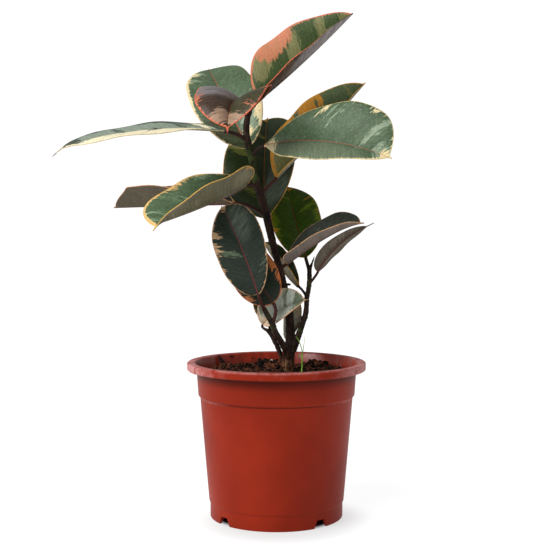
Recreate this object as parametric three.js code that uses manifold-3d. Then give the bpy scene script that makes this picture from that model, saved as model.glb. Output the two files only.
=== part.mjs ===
// A variegated rubber plant standing in its plastic nursery pot.
// Millimetres, +Z up, origin at the centre of the pot's underside. The front is -Y.
import * as THREE from 'three';
import { mergeVertices } from 'three/addons/utils/BufferGeometryUtils.js';
import Module from 'manifold-3d';

const wasm = await Module();
wasm.setup();

// Driving dimensions of the pot
const RIM_RADIUS = 85;
const POT_HEIGHT = 147;
const RIM_DEPTH = 7.2;
const LIP_RADIUS = 77.2;
const WALL = 1.6;
const BODY_TOP_RADIUS = 76.1;
const UPPER_LEDGE_HEIGHT = 116;
const UPPER_LEDGE_RADIUS = 74.4;
const BELOW_LEDGE_RADIUS = 72.7;
const LOWER_LEDGE_HEIGHT = 15.4;
const LOWER_LEDGE_RADIUS = 64.3;
const FOOT_RADIUS = 63.2;
const FOOT_WALL = 2.6;
const LEDGE_RISE = 1.4;
const BASE_DISC_RADIUS = 38;
const CHANNEL_HEIGHT = 8.6;
const POT_SIDES = 48;

// Drainage
const NOTCH_AZIMUTHS = [-50, 40, 130, 220];
const NOTCH_BOTTOM_WIDTH = 16;
const NOTCH_TOP_WIDTH = 9;
const NOTCH_HEIGHT = 7.5;
const NOTCH_DEPTH = 12;
const DRAIN_RADIUS = 4;
const DRAIN_CIRCLE = 50;

// Soil, and the gap kept between pieces that touch
const GAP = 0.3;
const SOIL_GAP = 0.5;
const SOIL_LEVEL = 135;
const SOIL_SIDES = 32;
const SOIL_TOP_RINGS = 7;
const SOIL_HUMPS = [
  { x: -9, y: 42, height: 8, spread: 17 },
  { x: 38, y: 36, height: 8, spread: 14 },
  { x: -46, y: 22, height: 4, spread: 15 },
  { x: 12, y: 0, height: 3, spread: 12 },
  { x: 20, y: -48, height: -3, spread: 22 },
];

// Leaves
const BLADE_THICKNESS = 0.8;
const RIDGE_DEPTH = 1.5;
const PETIOLE_RADIUS = 1.7;
const BLADE_ROWS = 10;
const HALF_COLUMNS = [0.09, 0.4, 0.74, 1];
const WAVE_COUNT = 2.5;
const WAVE_SHARE = 0.016;
const DRIP_SHARE = 0.03;
const DROOP_START = 0.88;
const PLAIN_OUTLINE = [[0.45, 0.5, 2.4], [0.45, 0.5, 2.4]];

const vector = ([x, y, z]) => new THREE.Vector3(x, y, z);
const radians = THREE.MathUtils.degToRad;

// Solids for joining and cutting
function toSolid(geometry) {
  const plain = geometry.index ? geometry.clone() : geometry;
  plain.deleteAttribute('normal');
  plain.deleteAttribute('uv');
  const merged = mergeVertices(plain, 1e-5);
  return new wasm.Manifold(new wasm.Mesh({
    numProp: 3,
    vertProperties: new Float32Array(merged.attributes.position.array),
    triVerts: new Uint32Array(merged.index.array),
  }));
}

function toGeometry(solid) {
  const mesh = solid.getMesh();
  const geometry = new THREE.BufferGeometry();
  geometry.setAttribute('position', new THREE.BufferAttribute(mesh.vertProperties, 3));
  geometry.setIndex(new THREE.BufferAttribute(mesh.triVerts, 1));
  geometry.computeVertexNormals();
  return geometry;
}

// Keeps the piece with the most volume, and drops loose scraps that a cut leaves
function largest(solid) {
  const pieces = solid.decompose();
  return pieces.reduce((best, piece) => (piece.volume() > best.volume() ? piece : best));
}

// A closed cylinder bent along a curve, with a radius for each place on it
function stalk(points, radii, steps, sides) {
  const curve = new THREE.CatmullRomCurve3(points.map(vector), false, 'centripetal');
  const geometry = new THREE.CylinderGeometry(1, 1, 1, sides, steps);
  geometry.deleteAttribute('normal');
  geometry.deleteAttribute('uv');
  const frames = [];
  let across = new THREE.Vector3(1, 0, 0);
  for (let step = 0; step <= steps; step += 1) {
    const along = curve.getTangent(step / steps);
    across = across.clone().addScaledVector(along, -across.dot(along)).normalize();
    frames.push({
      centre: curve.getPoint(step / steps),
      across,
      up: new THREE.Vector3().crossVectors(along, across),
    });
  }
  const position = geometry.attributes.position;
  for (let i = 0; i < position.count; i += 1) {
    const share = position.getY(i) + 0.5;
    const { centre, across: right, up } = frames[Math.round(share * steps)];
    const place = share * (radii.length - 1);
    const low = Math.min(Math.floor(place), radii.length - 2);
    const radius = THREE.MathUtils.lerp(radii[low], radii[low + 1], place - low);
    const point = centre.clone()
      .addScaledVector(right, position.getZ(i) * radius)
      .addScaledVector(up, position.getX(i) * radius);
    position.setXYZ(i, point.x, point.y, point.z);
  }
  return geometry;
}

// The pot: a turned shell with a stepped wall, a rolled rim and a raised ring under it
function potProfile() {
  const footInner = FOOT_RADIUS - FOOT_WALL;
  return [
    [0, 0],
    [BASE_DISC_RADIUS, 0],
    [BASE_DISC_RADIUS + 3, CHANNEL_HEIGHT],
    [footInner - 1.5, CHANNEL_HEIGHT],
    [footInner, 0],
    [FOOT_RADIUS, 0],
    [FOOT_RADIUS + 0.1, LOWER_LEDGE_HEIGHT - LEDGE_RISE],
    [LOWER_LEDGE_RADIUS, LOWER_LEDGE_HEIGHT],
    [BELOW_LEDGE_RADIUS, UPPER_LEDGE_HEIGHT - LEDGE_RISE],
    [UPPER_LEDGE_RADIUS, UPPER_LEDGE_HEIGHT],
    [BODY_TOP_RADIUS, POT_HEIGHT - RIM_DEPTH],
    [RIM_RADIUS - 1, POT_HEIGHT - RIM_DEPTH],
    [RIM_RADIUS, POT_HEIGHT - RIM_DEPTH + 1.2],
    [RIM_RADIUS, POT_HEIGHT - 1.6],
    [RIM_RADIUS - 1.2, POT_HEIGHT - 0.2],
    [RIM_RADIUS - 3, POT_HEIGHT],
    [LIP_RADIUS + 0.7, POT_HEIGHT],
    [LIP_RADIUS, POT_HEIGHT - 0.8],
    [BODY_TOP_RADIUS - WALL, POT_HEIGHT - RIM_DEPTH - 1],
    ...innerWall(),
  ];
}

// The inside of the pot below the rim, from the top down to the middle of the floor
function innerWall() {
  return [
    [UPPER_LEDGE_RADIUS - WALL, UPPER_LEDGE_HEIGHT + 0.8],
    [BELOW_LEDGE_RADIUS - WALL, UPPER_LEDGE_HEIGHT - LEDGE_RISE - 0.6],
    [LOWER_LEDGE_RADIUS - WALL, LOWER_LEDGE_HEIGHT + 0.6],
    [FOOT_RADIUS - FOOT_WALL - 0.8, CHANNEL_HEIGHT + WALL],
    [BASE_DISC_RADIUS + 1.8, CHANNEL_HEIGHT + WALL],
    [BASE_DISC_RADIUS - 1.2, WALL],
    [0, WALL],
  ];
}

function turned(profile, sides) {
  const points = profile.map(([radius, height]) => new THREE.Vector2(radius, height));
  const geometry = new THREE.LatheGeometry(points, sides);
  geometry.rotateX(Math.PI / 2);
  return geometry;
}

// Moves the vertices that a lathe leaves a hair off its axis back onto it
function closeOnAxis(geometry) {
  const position = geometry.attributes.position;
  for (let i = 0; i < position.count; i += 1) {
    if (Math.hypot(position.getX(i), position.getY(i)) < 1e-4) {
      position.setXYZ(i, 0, 0, position.getZ(i));
    }
  }
  return geometry;
}

function notchCutter(azimuth) {
  const outline = new THREE.Shape();
  outline.moveTo(-NOTCH_BOTTOM_WIDTH / 2, -1);
  outline.lineTo(NOTCH_BOTTOM_WIDTH / 2, -1);
  outline.lineTo(NOTCH_BOTTOM_WIDTH / 2, 1);
  outline.lineTo(NOTCH_TOP_WIDTH / 2, NOTCH_HEIGHT);
  outline.lineTo(-NOTCH_TOP_WIDTH / 2, NOTCH_HEIGHT);
  outline.lineTo(-NOTCH_BOTTOM_WIDTH / 2, 1);
  const cutter = new THREE.ExtrudeGeometry(outline, { depth: NOTCH_DEPTH, bevelEnabled: false });
  cutter.rotateX(Math.PI / 2);
  cutter.translate(0, -FOOT_RADIUS + NOTCH_DEPTH / 2, 0);
  cutter.rotateZ(radians(azimuth));
  return toSolid(cutter);
}

function drainCutter(azimuth) {
  const cutter = new THREE.CylinderGeometry(DRAIN_RADIUS, DRAIN_RADIUS, 10, 12);
  cutter.rotateX(Math.PI / 2);
  cutter.translate(0, -DRAIN_CIRCLE, CHANNEL_HEIGHT);
  cutter.rotateZ(radians(azimuth));
  return toSolid(cutter);
}

function pot() {
  let solid = toSolid(closeOnAxis(turned(potProfile(), POT_SIDES)));
  for (const azimuth of NOTCH_AZIMUTHS) {
    solid = solid.subtract(notchCutter(azimuth)).subtract(drainCutter(azimuth));
  }
  return solid;
}

// The soil fills the pot to below the rim, humped towards the back
function soilHeight(x, y) {
  let height = SOIL_LEVEL;
  for (const hump of SOIL_HUMPS) {
    const distance = Math.hypot(x - hump.x, y - hump.y) / hump.spread;
    height += hump.height * Math.exp(-distance * distance);
  }
  return height;
}

function soil(holes) {
  const wall = innerWall().reverse();
  const [ledgeRadius, ledgeHeight] = wall[wall.length - 1];
  const share = (SOIL_LEVEL - ledgeHeight) / (POT_HEIGHT - RIM_DEPTH - 1 - ledgeHeight);
  const edge = THREE.MathUtils.lerp(ledgeRadius, BODY_TOP_RADIUS - WALL, share);
  const inset = [...wall, [edge, SOIL_LEVEL]].map(([radius, height]) => [
    Math.max(radius - SOIL_GAP, 0),
    height < LOWER_LEDGE_HEIGHT ? height + SOIL_GAP : height,
  ]);
  for (let ring = SOIL_TOP_RINGS - 1; ring >= 0; ring -= 1) {
    inset.push([((edge - SOIL_GAP) * ring) / SOIL_TOP_RINGS, SOIL_LEVEL]);
  }
  const geometry = closeOnAxis(turned(inset, SOIL_SIDES));
  const position = geometry.attributes.position;
  for (let i = 0; i < position.count; i += 1) {
    if (position.getZ(i) > SOIL_LEVEL - 0.01) {
      position.setZ(i, soilHeight(position.getX(i), position.getY(i)));
    }
  }
  return holes.reduce((solid, hole) => solid.subtract(hole), toSolid(geometry));
}

// The woody stem: a trunk that forks low down, each branch a route of [x, y, z, radius]
const TRUNK = [
  [11.5, 0, 98, 3.8], [11.5, 0, 118, 4.6], [11.5, 0, 138, 5], [11.5, 0, 146, 5.6],
  [12.5, 2, 156, 5.4], [13.5, 4, 167, 5], [13, 6, 179, 4.4], [12.5, 6, 190, 4],
  [10, 5, 205, 3.7], [6.5, 4, 221, 3.6], [3, 3, 236, 3.4], [-0.5, 2, 248, 3.4],
  [-3.5, 1, 260, 3.6], [-7, 0, 275, 3.8], [-10.5, 0, 290, 3.8], [-14, 0, 302, 3.8],
  [-17.5, 0, 312, 3.7], [-20, 0, 321, 3.7], [-22, 0, 331, 3.6], [-23.5, 0, 341, 3.5],
  [-26, 0, 351, 3.5], [-28, 0, 360, 3.3], [-28.5, 0, 369, 3.1], [-27.5, 0, 378, 2.9],
  [-25.5, 0, 385, 2.6], [-27, 2, 392, 1.7], [-29, 4, 399, 0.5],
];
const LEFT_BRANCH = [
  [12.5, -1, 149, 4], [9, -6.5, 158.5, 3.4], [4, -11.5, 167.5, 3.1], [-1, -15.5, 176.5, 2.9],
  [-4, -17.5, 185, 2.9], [-8, -18.5, 192, 2.6], [-12, -19, 199.5, 2.4],
];
const TWIG = [
  [8.5, -1, 143, 3.2], [5, -2, 151.5, 2.5], [1.5, -2, 160, 2.3], [-2, -2, 167, 2.2],
  [-5.5, -2, 173.5, 2.1], [-9, -2, 177.5, 1.9],
];
const RIGHT_BRANCH = [
  [15.5, 2, 157.5, 4], [19, 0, 166.5, 3.3], [22, -1, 175, 3], [25, -2, 184, 2.8],
  [27.5, -2, 191.5, 2.8], [28.5, -2, 200, 2.5], [29, -1, 209, 2.5], [30.5, 0, 216, 2.4],
  [31.5, 1, 225, 2.4], [31.5, 2, 233.5, 2.2], [33.5, 1.5, 240, 1.2], [36, 1, 247, 0.5],
];
const SCAR_STUB = [[7, 4, 219, 1.6], [10.5, 2, 220.5, 1.3], [13.5, 1, 220.5, 0.9]];

// Moves a route's end outwards, so that a grown branch clears the end of the branch too
function lengthened(end, next, grow) {
  return vector(end).add(vector(end).sub(vector(next)).setLength(grow)).toArray();
}

function branch(route, steps, sides, grow) {
  const radii = route.map((place) => place[3] + grow);
  const last = route.length - 1;
  const places = route.map((place, i) => {
    if (i === 0) return lengthened(place, route[1], grow);
    return i === last ? lengthened(place, route[last - 1], grow) : place.slice(0, 3);
  });
  return toSolid(stalk(places, radii, steps, sides));
}

function woodyStem(grow = 0) {
  return branch(TRUNK, 34, 9, grow)
    .add(branch(LEFT_BRANCH, 9, 8, grow))
    .add(branch(TWIG, 8, 7, grow))
    .add(branch(RIGHT_BRANCH, 14, 8, grow))
    .add(branch(SCAR_STUB, 3, 6, grow));
}

// Each leaf: where its stalk leaves the stem, three places on its midrib, the way its upper
// face looks, the widths of its left and right halves, and how far they fold up, in degrees.
// Left and right are as seen from the base, with the upper face up. Curl bends each half across,
// flare lets its fold grow from base to tip, and twist turns the whole blade. Each half's outline
// is the share of the length where it is widest, how it tapers to the base and how blunt it ends.
// Body is the share of the length before the drip tip, and droop how far the tip's end hangs.
const LEAVES = [
  { name: 'leaf_top_upright', stalk: [-26, 0, 383], base: [-16.5, 0, 395], middle: [28, -2, 433],
    tip: [72, 0, 476], face: [-0.5, -0.6, 0.5], halves: [37.5, 33.5], fold: [46, 46],
    curl: [-14, 6], outline: [[0.32, 0.5, 2], [0.32, 0.5, 2]], body: 0.985 },
  { name: 'leaf_top_arching', stalk: [-26.5, 0, 381], base: [-28, -12, 386],
    middle: [-39.5, -61, 384.8], tip: [-42, -98, 355], face: [0, -0.5, 0.9], halves: [38, 33.5],
    fold: [34, 31], curl: [-13, -41], outline: [[0.5, 0.5, 2.6], [0.5, 0.5, 2.6]], body: 0.93,
    flare: [0, -8] },
  { name: 'leaf_top_back', stalk: [-22.5, 0, 333], base: [-27.5, 9, 350], middle: [-53, 45, 404],
    tip: [-70, 95, 437], face: [0.1, -0.8, 0.6], halves: [34, 35], fold: [8, 24], curl: [-16, -12],
    outline: [[0.4, 0.6, 2.8], [0.44, 0.62, 2.8]], body: 0.97 },
  { name: 'leaf_far_left', stalk: [-28, 0, 357], base: [-49, -12, 365], middle: [-125, -35, 362.8],
    tip: [-201.5, -50, 345.5], face: [0, -0.245, 0.97], halves: [31, 29], fold: [7, 6],
    curl: [-8, -8], outline: [[0.45, 0.5, 2.6], [0.3, 0.4, 2.8]], body: 0.95, twist: 15,
    flare: [4, -10], droop: 7 },
  { name: 'leaf_right_broad', stalk: [-23.5, 0, 341], base: [-12, -12, 351],
    middle: [44, -50, 352], tip: [101, -78, 335], face: [0.1, -0.8, 0.55], halves: [41.5, 36.5],
    fold: [28, 24], curl: [-16, -14], outline: [[0.66, 1.15, 3.6], [0.45, 1.2, 1.6]],
    body: 0.975 },
  { name: 'leaf_right_back', stalk: [-15, 0, 305], base: [0, 4, 322], middle: [44, 28, 368],
    tip: [89, 60, 419], face: [-0.4, -0.4, 0.8], halves: [34.5, 33.5], fold: [45, 31],
    curl: [-12, 0], outline: [[0.4, 0.7, 2.9], [0.42, 0.5, 3]], body: 0.98 },
  { name: 'leaf_left_folded', stalk: [-17.5, 0, 312], base: [-28, -12, 314],
    middle: [-69, -55, 293], tip: [-107, -90, 277], face: [0, -0.3, 0.95], halves: [45, 34],
    fold: [52, 40], curl: [-10, -14], outline: [[0.32, 0.45, 2], [0.72, 0.6, 4.4]], body: 0.965,
    flare: [0, -40], droop: 5 },
  { name: 'leaf_left_back', stalk: [-10, 0, 285], base: [-40, 4, 298], middle: [-95, 36, 297],
    tip: [-166, 80, 295], face: [0, -0.05, 1], halves: [29, 29], fold: [48, 48], curl: [-10, -10],
    outline: [[0.82, 1, 0.8], [0.5, 0.9, 2.6]], body: 0.985 },
  { name: 'leaf_centre_back', stalk: [-7, 0, 271], base: [-10, 14, 283], middle: [-12, 50, 333],
    tip: [-9, 100, 388], face: [0, -0.8, 0.5], halves: [41, 38], fold: [2, 42], curl: [-10, -12],
    outline: [[0.45, 0.75, 3.2], [0.5, 0.8, 3.4]], body: 0.98 },
  { name: 'leaf_low_left', stalk: [-11.5, -19, 198], base: [-17, -29, 213],
    middle: [-34, -38, 261], tip: [-51, -28, 294.5], face: [-0.2, -1, 0.1], halves: [24.5, 24],
    fold: [10, 10], curl: [-18, -14], outline: [[0.4, 0.4, 2.4], [0.6, 0.65, 2.6]], body: 0.975 },
  { name: 'leaf_low_under', stalk: [-4, -17.5, 186], base: [-3, -19, 204], middle: [-28, -9, 237],
    tip: [-55, 7, 263], face: [-0.2, -1, 0.2], halves: [21, 24], fold: [10, 10], curl: [-8, -8],
    outline: [[0.35, 0.5, 2], [0.45, 0.5, 2.4]] },
  { name: 'leaf_right_round', stalk: [31.5, 2, 232], base: [28, 10, 246], middle: [19, 32, 280],
    tip: [10, 60, 317], face: [0.1, -0.8, 0.4], halves: [23.5, 26], fold: [5, 5], curl: [-12, -12],
    outline: [[0.5, 0.5, 2.8], [0.6, 0.7, 2.8]], body: 0.97 },
  { name: 'leaf_mid_right', stalk: [3, 3, 236], base: [10, -4, 241], middle: [51, -24, 269],
    tip: [80, -37, 279], face: [0, -0.34, 0.94], halves: [22, 19], fold: [41, 45], curl: [-14, -6],
    outline: [[0.5, 0.6, 2.4], [0.12, 0.5, 1]], twist: 30, flare: [0, -5] },
  { name: 'leaf_right_hanging', stalk: [31, 1, 221], base: [39, -4, 233], middle: [60, -10, 259.5],
    tip: [92, -6, 279], face: [-0.5, 0.75, 0.5], halves: [16, 10], fold: [30, 35],
    curl: [-10, -14], outline: [[0.4, 0.5, 1.8], [0.3, 0.5, 1.6]], body: 0.9 },
  { name: 'leaf_mid_small', stalk: [29, -1, 208], base: [21, 9, 219], middle: [3, 26, 238],
    tip: [-14, 33, 264], face: [0.35, -0.6, 0.5], halves: [14, 13.5], fold: [74, 48],
    curl: [-8, -8], outline: [[0.45, 0.5, 2.4], [0.6, 0.7, 2.4]] },
  { name: 'leaf_low_pale', stalk: [-8.5, -2, 177], base: [-13, 2, 182], middle: [7, -3, 199],
    tip: [30, -10, 207], face: [0, -1, 0.1], halves: [19, 15], fold: [8, 58], curl: [-12, -8],
    outline: [[0.4, 0.5, 2.4], [0.4, 0.5, 2]] },
  { name: 'leaf_low_hidden', stalk: [-5.5, -2, 173], base: [-9, 8, 188], middle: [-13, 13, 200],
    tip: [-18, 21, 213], face: [-0.2, -1, 0.2], halves: [9.5, 9.5], fold: [10, 10],
    curl: [-6, -6] },
  { name: 'leaf_low_back', stalk: [27.3, -2, 191], base: [24, 8, 188], middle: [15, 25, 182],
    tip: [7, 45, 168], face: [-0.8, -0.5, 0.3], halves: [18, 19], fold: [10, 10], curl: [-8, -8],
    outline: [[0.4, 0.4, 2.6], [0.4, 0.4, 2.4]], body: 0.97 },
];

// The width of one half along the blade as a share of its widest, with a drip tip at the end
function halfWidth({ outline = PLAIN_OUTLINE, body = 0.93 }, share, half) {
  const [widest, taper, point] = outline[half];
  const along = share / body;
  const drip = DRIP_SHARE * Math.min((1 - share) / (1 - body), 1.6) ** 0.8;
  if (along < widest) {
    return (1 - ((widest - along) / widest) ** 2) ** taper;
  }
  const past = Math.min((along - widest) / (1 - widest), 1);
  return Math.max((1 - past ** point) ** 0.68, drip);
}

// The midrib is a parabola through three places, with the upper face's direction carried along
function midribFrame(leaf, share) {
  const base = vector(leaf.base);
  const tip = vector(leaf.tip);
  const bend = vector(leaf.middle).multiplyScalar(2).addScaledVector(base, -0.5).addScaledVector(tip, -0.5);
  const curve = new THREE.QuadraticBezierCurve3(base, bend, tip);
  const along = curve.getTangent(share);
  const face = vector(leaf.face);
  const up = face.addScaledVector(along, -face.dot(along)).normalize();
  up.applyAxisAngle(along, -radians(leaf.twist ?? 0) * (share - 0.5));
  const centre = curve.getPoint(share);
  centre.z -= (leaf.droop ?? 0) * Math.max((share - DROOP_START) / (1 - DROOP_START), 0) ** 2;
  return { centre, along, up, right: new THREE.Vector3().crossVectors(along, up) };
}

// A place on the blade, and the direction its upper face looks there. Across runs from -1 to 1
function bladePlace(leaf, share, across) {
  const { centre, up, right } = midribFrame(leaf, share);
  const side = Math.sign(across);
  const reach = Math.abs(across);
  const half = side < 0 ? 0 : 1;
  const flare = (leaf.flare?.[half] ?? 0) * (2 * share - 1);
  const rise = radians(leaf.fold[half] + flare + leaf.curl[half] * (reach - 0.6));
  const wide = leaf.halves[half] * halfWidth(leaf, share, half);
  const width = wide * reach;
  const swing = Math.sin(2 * Math.PI * (WAVE_COUNT * share + 0.3 * side));
  const wave = WAVE_SHARE * 2 * wide * reach ** 2 * swing;
  const place = centre.clone()
    .addScaledVector(right, side * width * Math.cos(rise))
    .addScaledVector(up, width * Math.sin(rise) + wave);
  if (reach === 0) {
    const spread = Math.cos(radians((leaf.fold[0] + leaf.fold[1]) / 2));
    return { place, normal: up.clone().divideScalar(spread) };
  }
  const turn = rise + radians(leaf.curl[half]) * reach;
  const normal = up.clone().multiplyScalar(Math.cos(turn)).addScaledVector(right, -side * Math.sin(turn));
  return { place, normal };
}

// A blade is one sheet split into triangles alike above and below, thicker under the midrib
function blade(leaf) {
  const columns = [...HALF_COLUMNS.map((v) => -v).reverse(), 0, ...HALF_COLUMNS];
  const upper = [];
  const lower = [];
  const addPlace = (share, across) => {
    const { place, normal } = bladePlace(leaf, share, across);
    const ridge = across === 0 ? RIDGE_DEPTH * (1 - share) ** 0.8 : 0;
    upper.push(place.clone().addScaledVector(normal, BLADE_THICKNESS / 2));
    lower.push(place.clone().addScaledVector(normal, -(BLADE_THICKNESS / 2 + ridge)));
  };
  addPlace(0, 0);
  for (let row = 1; row < BLADE_ROWS; row += 1) {
    const even = row / BLADE_ROWS;
    const share = 0.4 * even + 0.3 * (1 - Math.cos(Math.PI * even));
    columns.forEach((across) => addPlace(share, across));
  }
  addPlace(1, 0);

  const wide = columns.length;
  const place = (row, column) => 1 + (row - 1) * wide + column;
  const tip = upper.length - 1;
  const faces = [];
  for (let column = 0; column < wide - 1; column += 1) {
    faces.push([0, place(1, column + 1), place(1, column)]);
    faces.push([tip, place(BLADE_ROWS - 1, column), place(BLADE_ROWS - 1, column + 1)]);
    for (let row = 1; row < BLADE_ROWS - 1; row += 1) {
      const corners = [place(row, column), place(row, column + 1), place(row + 1, column + 1)];
      faces.push(corners, [corners[0], corners[2], place(row + 1, column)]);
    }
  }
  // The rim runs up the right margin and back down the left one
  const margin = [0];
  for (let row = 1; row < BLADE_ROWS; row += 1) margin.push(place(row, wide - 1));
  margin.push(tip);
  for (let row = BLADE_ROWS - 1; row > 0; row -= 1) margin.push(place(row, 0));

  const below = upper.length;
  const index = [];
  faces.forEach(([a, b, c]) => index.push(a, b, c, below + a, below + c, below + b));
  margin.forEach((start, i) => {
    const end = margin[(i + 1) % margin.length];
    index.push(below + start, below + end, end, below + start, end, start);
  });
  const geometry = new THREE.BufferGeometry().setFromPoints([...upper, ...lower]);
  geometry.setIndex(index);
  return geometry;
}

// The leaf stalk leaves the stem, bends to the blade's base and runs on a little way under it
function petiole(leaf) {
  const { centre, along, up } = midribFrame(leaf, 0);
  const start = vector(leaf.stalk);
  const reach = start.distanceTo(centre);
  const bend = centre.clone().addScaledVector(along, -reach / 2);
  const curve = new THREE.QuadraticBezierCurve3(start, bend, centre);
  const under = midribFrame(leaf, 0.07).centre.addScaledVector(up, -1.2);
  const route = [0, 0.35, 0.7].map((share) => curve.getPoint(share).toArray());
  route.push(centre.clone().addScaledVector(up, -0.7).toArray(), under.toArray());
  const thin = PETIOLE_RADIUS * (leaf.halves[0] < 20 ? 0.75 : 1);
  return stalk(route, [thin * 1.3, thin, thin, thin, thin * 0.6], 5, 6);
}

function leafSolid(leaf, clearance) {
  return largest(toSolid(blade(leaf)).add(toSolid(petiole(leaf))).subtract(clearance));
}

// A grass seedling has sprung up beside the trunk
const GRASS_STALK = [[24, -4, 118, 0.9], [24, -4, 138, 0.8], [24.5, -4, 147, 0.7], [24.5, -4, 154, 0.7]];
const GRASS_BLADES = [
  [[24.5, -4, 153, 0.6], [24, -6, 159, 0.6], [21.5, -8, 167, 0.5], [18.5, -9, 172, 0.4]],
  [[24.5, -4, 153, 0.6], [26, -4, 163, 0.5], [27, -4, 172, 0.4]],
  [[24.5, -4, 150, 0.6], [22.5, -3, 153.5, 0.5], [21, -3, 155, 0.4]],
];

function grass(grow = 0) {
  return GRASS_BLADES.reduce(
    (solid, blades) => solid.add(branch(blades, 4, 5, grow)),
    branch(GRASS_STALK, 4, 6, grow),
  );
}

const material = (color, roughness) => new THREE.MeshStandardMaterial({ color, roughness, metalness: 0 });
const terracottaPlastic = material(0x9c3423, 0.45);
const darkSoil = material(0x2e1d16, 0.95);
const bark = material(0x3a2a22, 0.8);
const leafGreen = material(0x4d6b45, 0.4);
const grassGreen = material(0x7fae3c, 0.5);

const plant = new THREE.Group();

function addMesh(name, solid, finish) {
  const mesh = new THREE.Mesh(toGeometry(solid), finish);
  mesh.name = name;
  plant.add(mesh);
}

const clearance = woodyStem(GAP);
addMesh('pot', pot(), terracottaPlastic);
addMesh('soil', soil([clearance, grass(GAP)]), darkSoil);
addMesh('woody_stem', woodyStem(), bark);
addMesh('grass_seedling', grass(), grassGreen);
for (const leaf of LEAVES) addMesh(leaf.name, leafSolid(leaf, clearance), leafGreen);

export default plant;
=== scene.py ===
"""A variegated rubber plant in its plastic nursery pot: its looks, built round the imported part."""
import math
import random

import bmesh
import bpy
from mathutils import Matrix, Vector, noise


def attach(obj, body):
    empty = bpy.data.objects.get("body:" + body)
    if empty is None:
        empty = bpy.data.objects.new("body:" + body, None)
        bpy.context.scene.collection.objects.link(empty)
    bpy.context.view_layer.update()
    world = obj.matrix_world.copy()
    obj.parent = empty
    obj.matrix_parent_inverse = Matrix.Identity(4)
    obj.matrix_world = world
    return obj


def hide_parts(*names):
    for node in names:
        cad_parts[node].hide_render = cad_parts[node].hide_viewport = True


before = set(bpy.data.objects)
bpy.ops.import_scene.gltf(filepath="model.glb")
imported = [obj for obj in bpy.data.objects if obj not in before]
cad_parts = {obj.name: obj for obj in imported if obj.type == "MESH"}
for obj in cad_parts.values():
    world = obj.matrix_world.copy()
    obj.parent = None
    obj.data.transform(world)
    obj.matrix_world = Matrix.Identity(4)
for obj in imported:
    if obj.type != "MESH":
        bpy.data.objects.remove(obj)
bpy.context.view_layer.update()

MM = 0.001

# The camera stands a metre off, a little above the middle of the plant
CAMERA_PLACE = Vector((-0.0014, -1.027, 0.278))
CAMERA_PITCH = math.radians(2.7)
SENSOR_WIDTH = 36
LENS = 70.8

# Soft daylight from the upper left in front, in a white room
AMBIENT = 0.31
BACKDROP = 1.05
SUN_FROM = Vector((-0.62, -0.58, 1.0))
SUN_STRENGTH = 2.6
SUN_SPREAD = math.radians(40)

# The floor glows, less so round the middle of the pot's shade and not at all under the pot. Its
# radius is in metres, and the places where the glow changes are in millimetres.
FLOOR_RADIUS = 6
FLOOR_GLOW = 0.92
SHADE_GLOW = 0.66
SHADE_MIDDLE = (4, -22, 0)
SHADE_ENDS = (45, 100)
GLOW_STARTS = (55, 64)

# A soft box stands at the left of the camera
SOFTBOX_PLACE = Vector((-1.1, -0.7, 0.8))
SOFTBOX_TARGET = Vector((0, 0, 0.25))
SOFTBOX_SIZE = 0.7
SOFTBOX_POWER = 7

# Corners closer than this, in metres, become one
SAME_PLACE = 1e-7

# A tube's least radius in millimetres, and the side of it where its grid starts
THINNEST_TUBE = 0.05
TUBE_SEAM = Vector((1, 0.2, 0.1))

# The pot's dimensions, in millimetres like all that follow
RIM_RADIUS = 85
POT_HEIGHT = 147
RIM_DEPTH = 7.2
RIM_BOTTOM = POT_HEIGHT - RIM_DEPTH
LIP_RADIUS = 77.2
WALL = 1.6
BODY_TOP_RADIUS = 76.1
UPPER_LEDGE_HEIGHT = 116
UPPER_LEDGE_RADIUS = 74.4
BELOW_LEDGE_RADIUS = 72.7
LOWER_LEDGE_HEIGHT = 15.4
LOWER_LEDGE_RADIUS = 64.3
FOOT_RADIUS = 63.2
FOOT_WALL = 2.6
LEDGE_RISE = 1.4
BASE_DISC_RADIUS = 38
CHANNEL_HEIGHT = 8.6
RIM_ROUNDING = 1.2
LEDGE_ROUNDING = 0.5
SHARP_ANGLE = math.radians(35)
POT_SIDES = 144

NOTCH_AZIMUTHS = (-50, 40, 130, 220)
NOTCH_BOTTOM_WIDTH = 16
NOTCH_TOP_WIDTH = 9
NOTCH_HEIGHT = 7.5
NOTCH_DEPTH = 12
DRAIN_RADIUS = 4
DRAIN_CIRCLE = 50

# Heights on the pot where its wear and painted sheen, the painted shade under its rim and its dirt
# begin and end, and of the painted shadow line under its upper ledge
RIM_STARTS = (138.5, 140.5)
LIP_STARTS = (144.8, 146.6)
PAINTED_SHADE_UNDER_RIM = (127, 138.5)
DIRT_ABOVE_SOIL = (138, 144.5)
CREASE_HEIGHT = 114.2

# Soil. Each of its humps is x, y, rise and spread.
SOIL_LEVEL = 135
SOIL_GAP = 0.3
SOIL_SIDES = 260
SOIL_RINGS = 70
SOIL_HUMPS = (
    (-9, 42, 8, 17),
    (38, 36, 8, 14),
    (-46, 22, 4, 15),
    (12, 0, 3, 12),
    (20, -48, -3, 22),
)

# How wide and how high the soil's lumps, its fine grain and its crumbs are
LUMP_WIDTH, LUMP_HEIGHT = 9, 1.6
GRAIN_WIDTH, GRAIN_HEIGHT = 1.7, 0.9
CRUMB_WIDTH, CRUMB_HEIGHT = 2.4, 0.5

# Loose crumbs: their size, how many there are, and how far from the middle they reach
CRUMBS = ((1, 1300, 71), (2, 160, 69))
CRUMB_SEED = 11
LITTER_SEED = 5
LUMP_DENTS = 0.45
DENT_SCALE = 2.3

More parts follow.
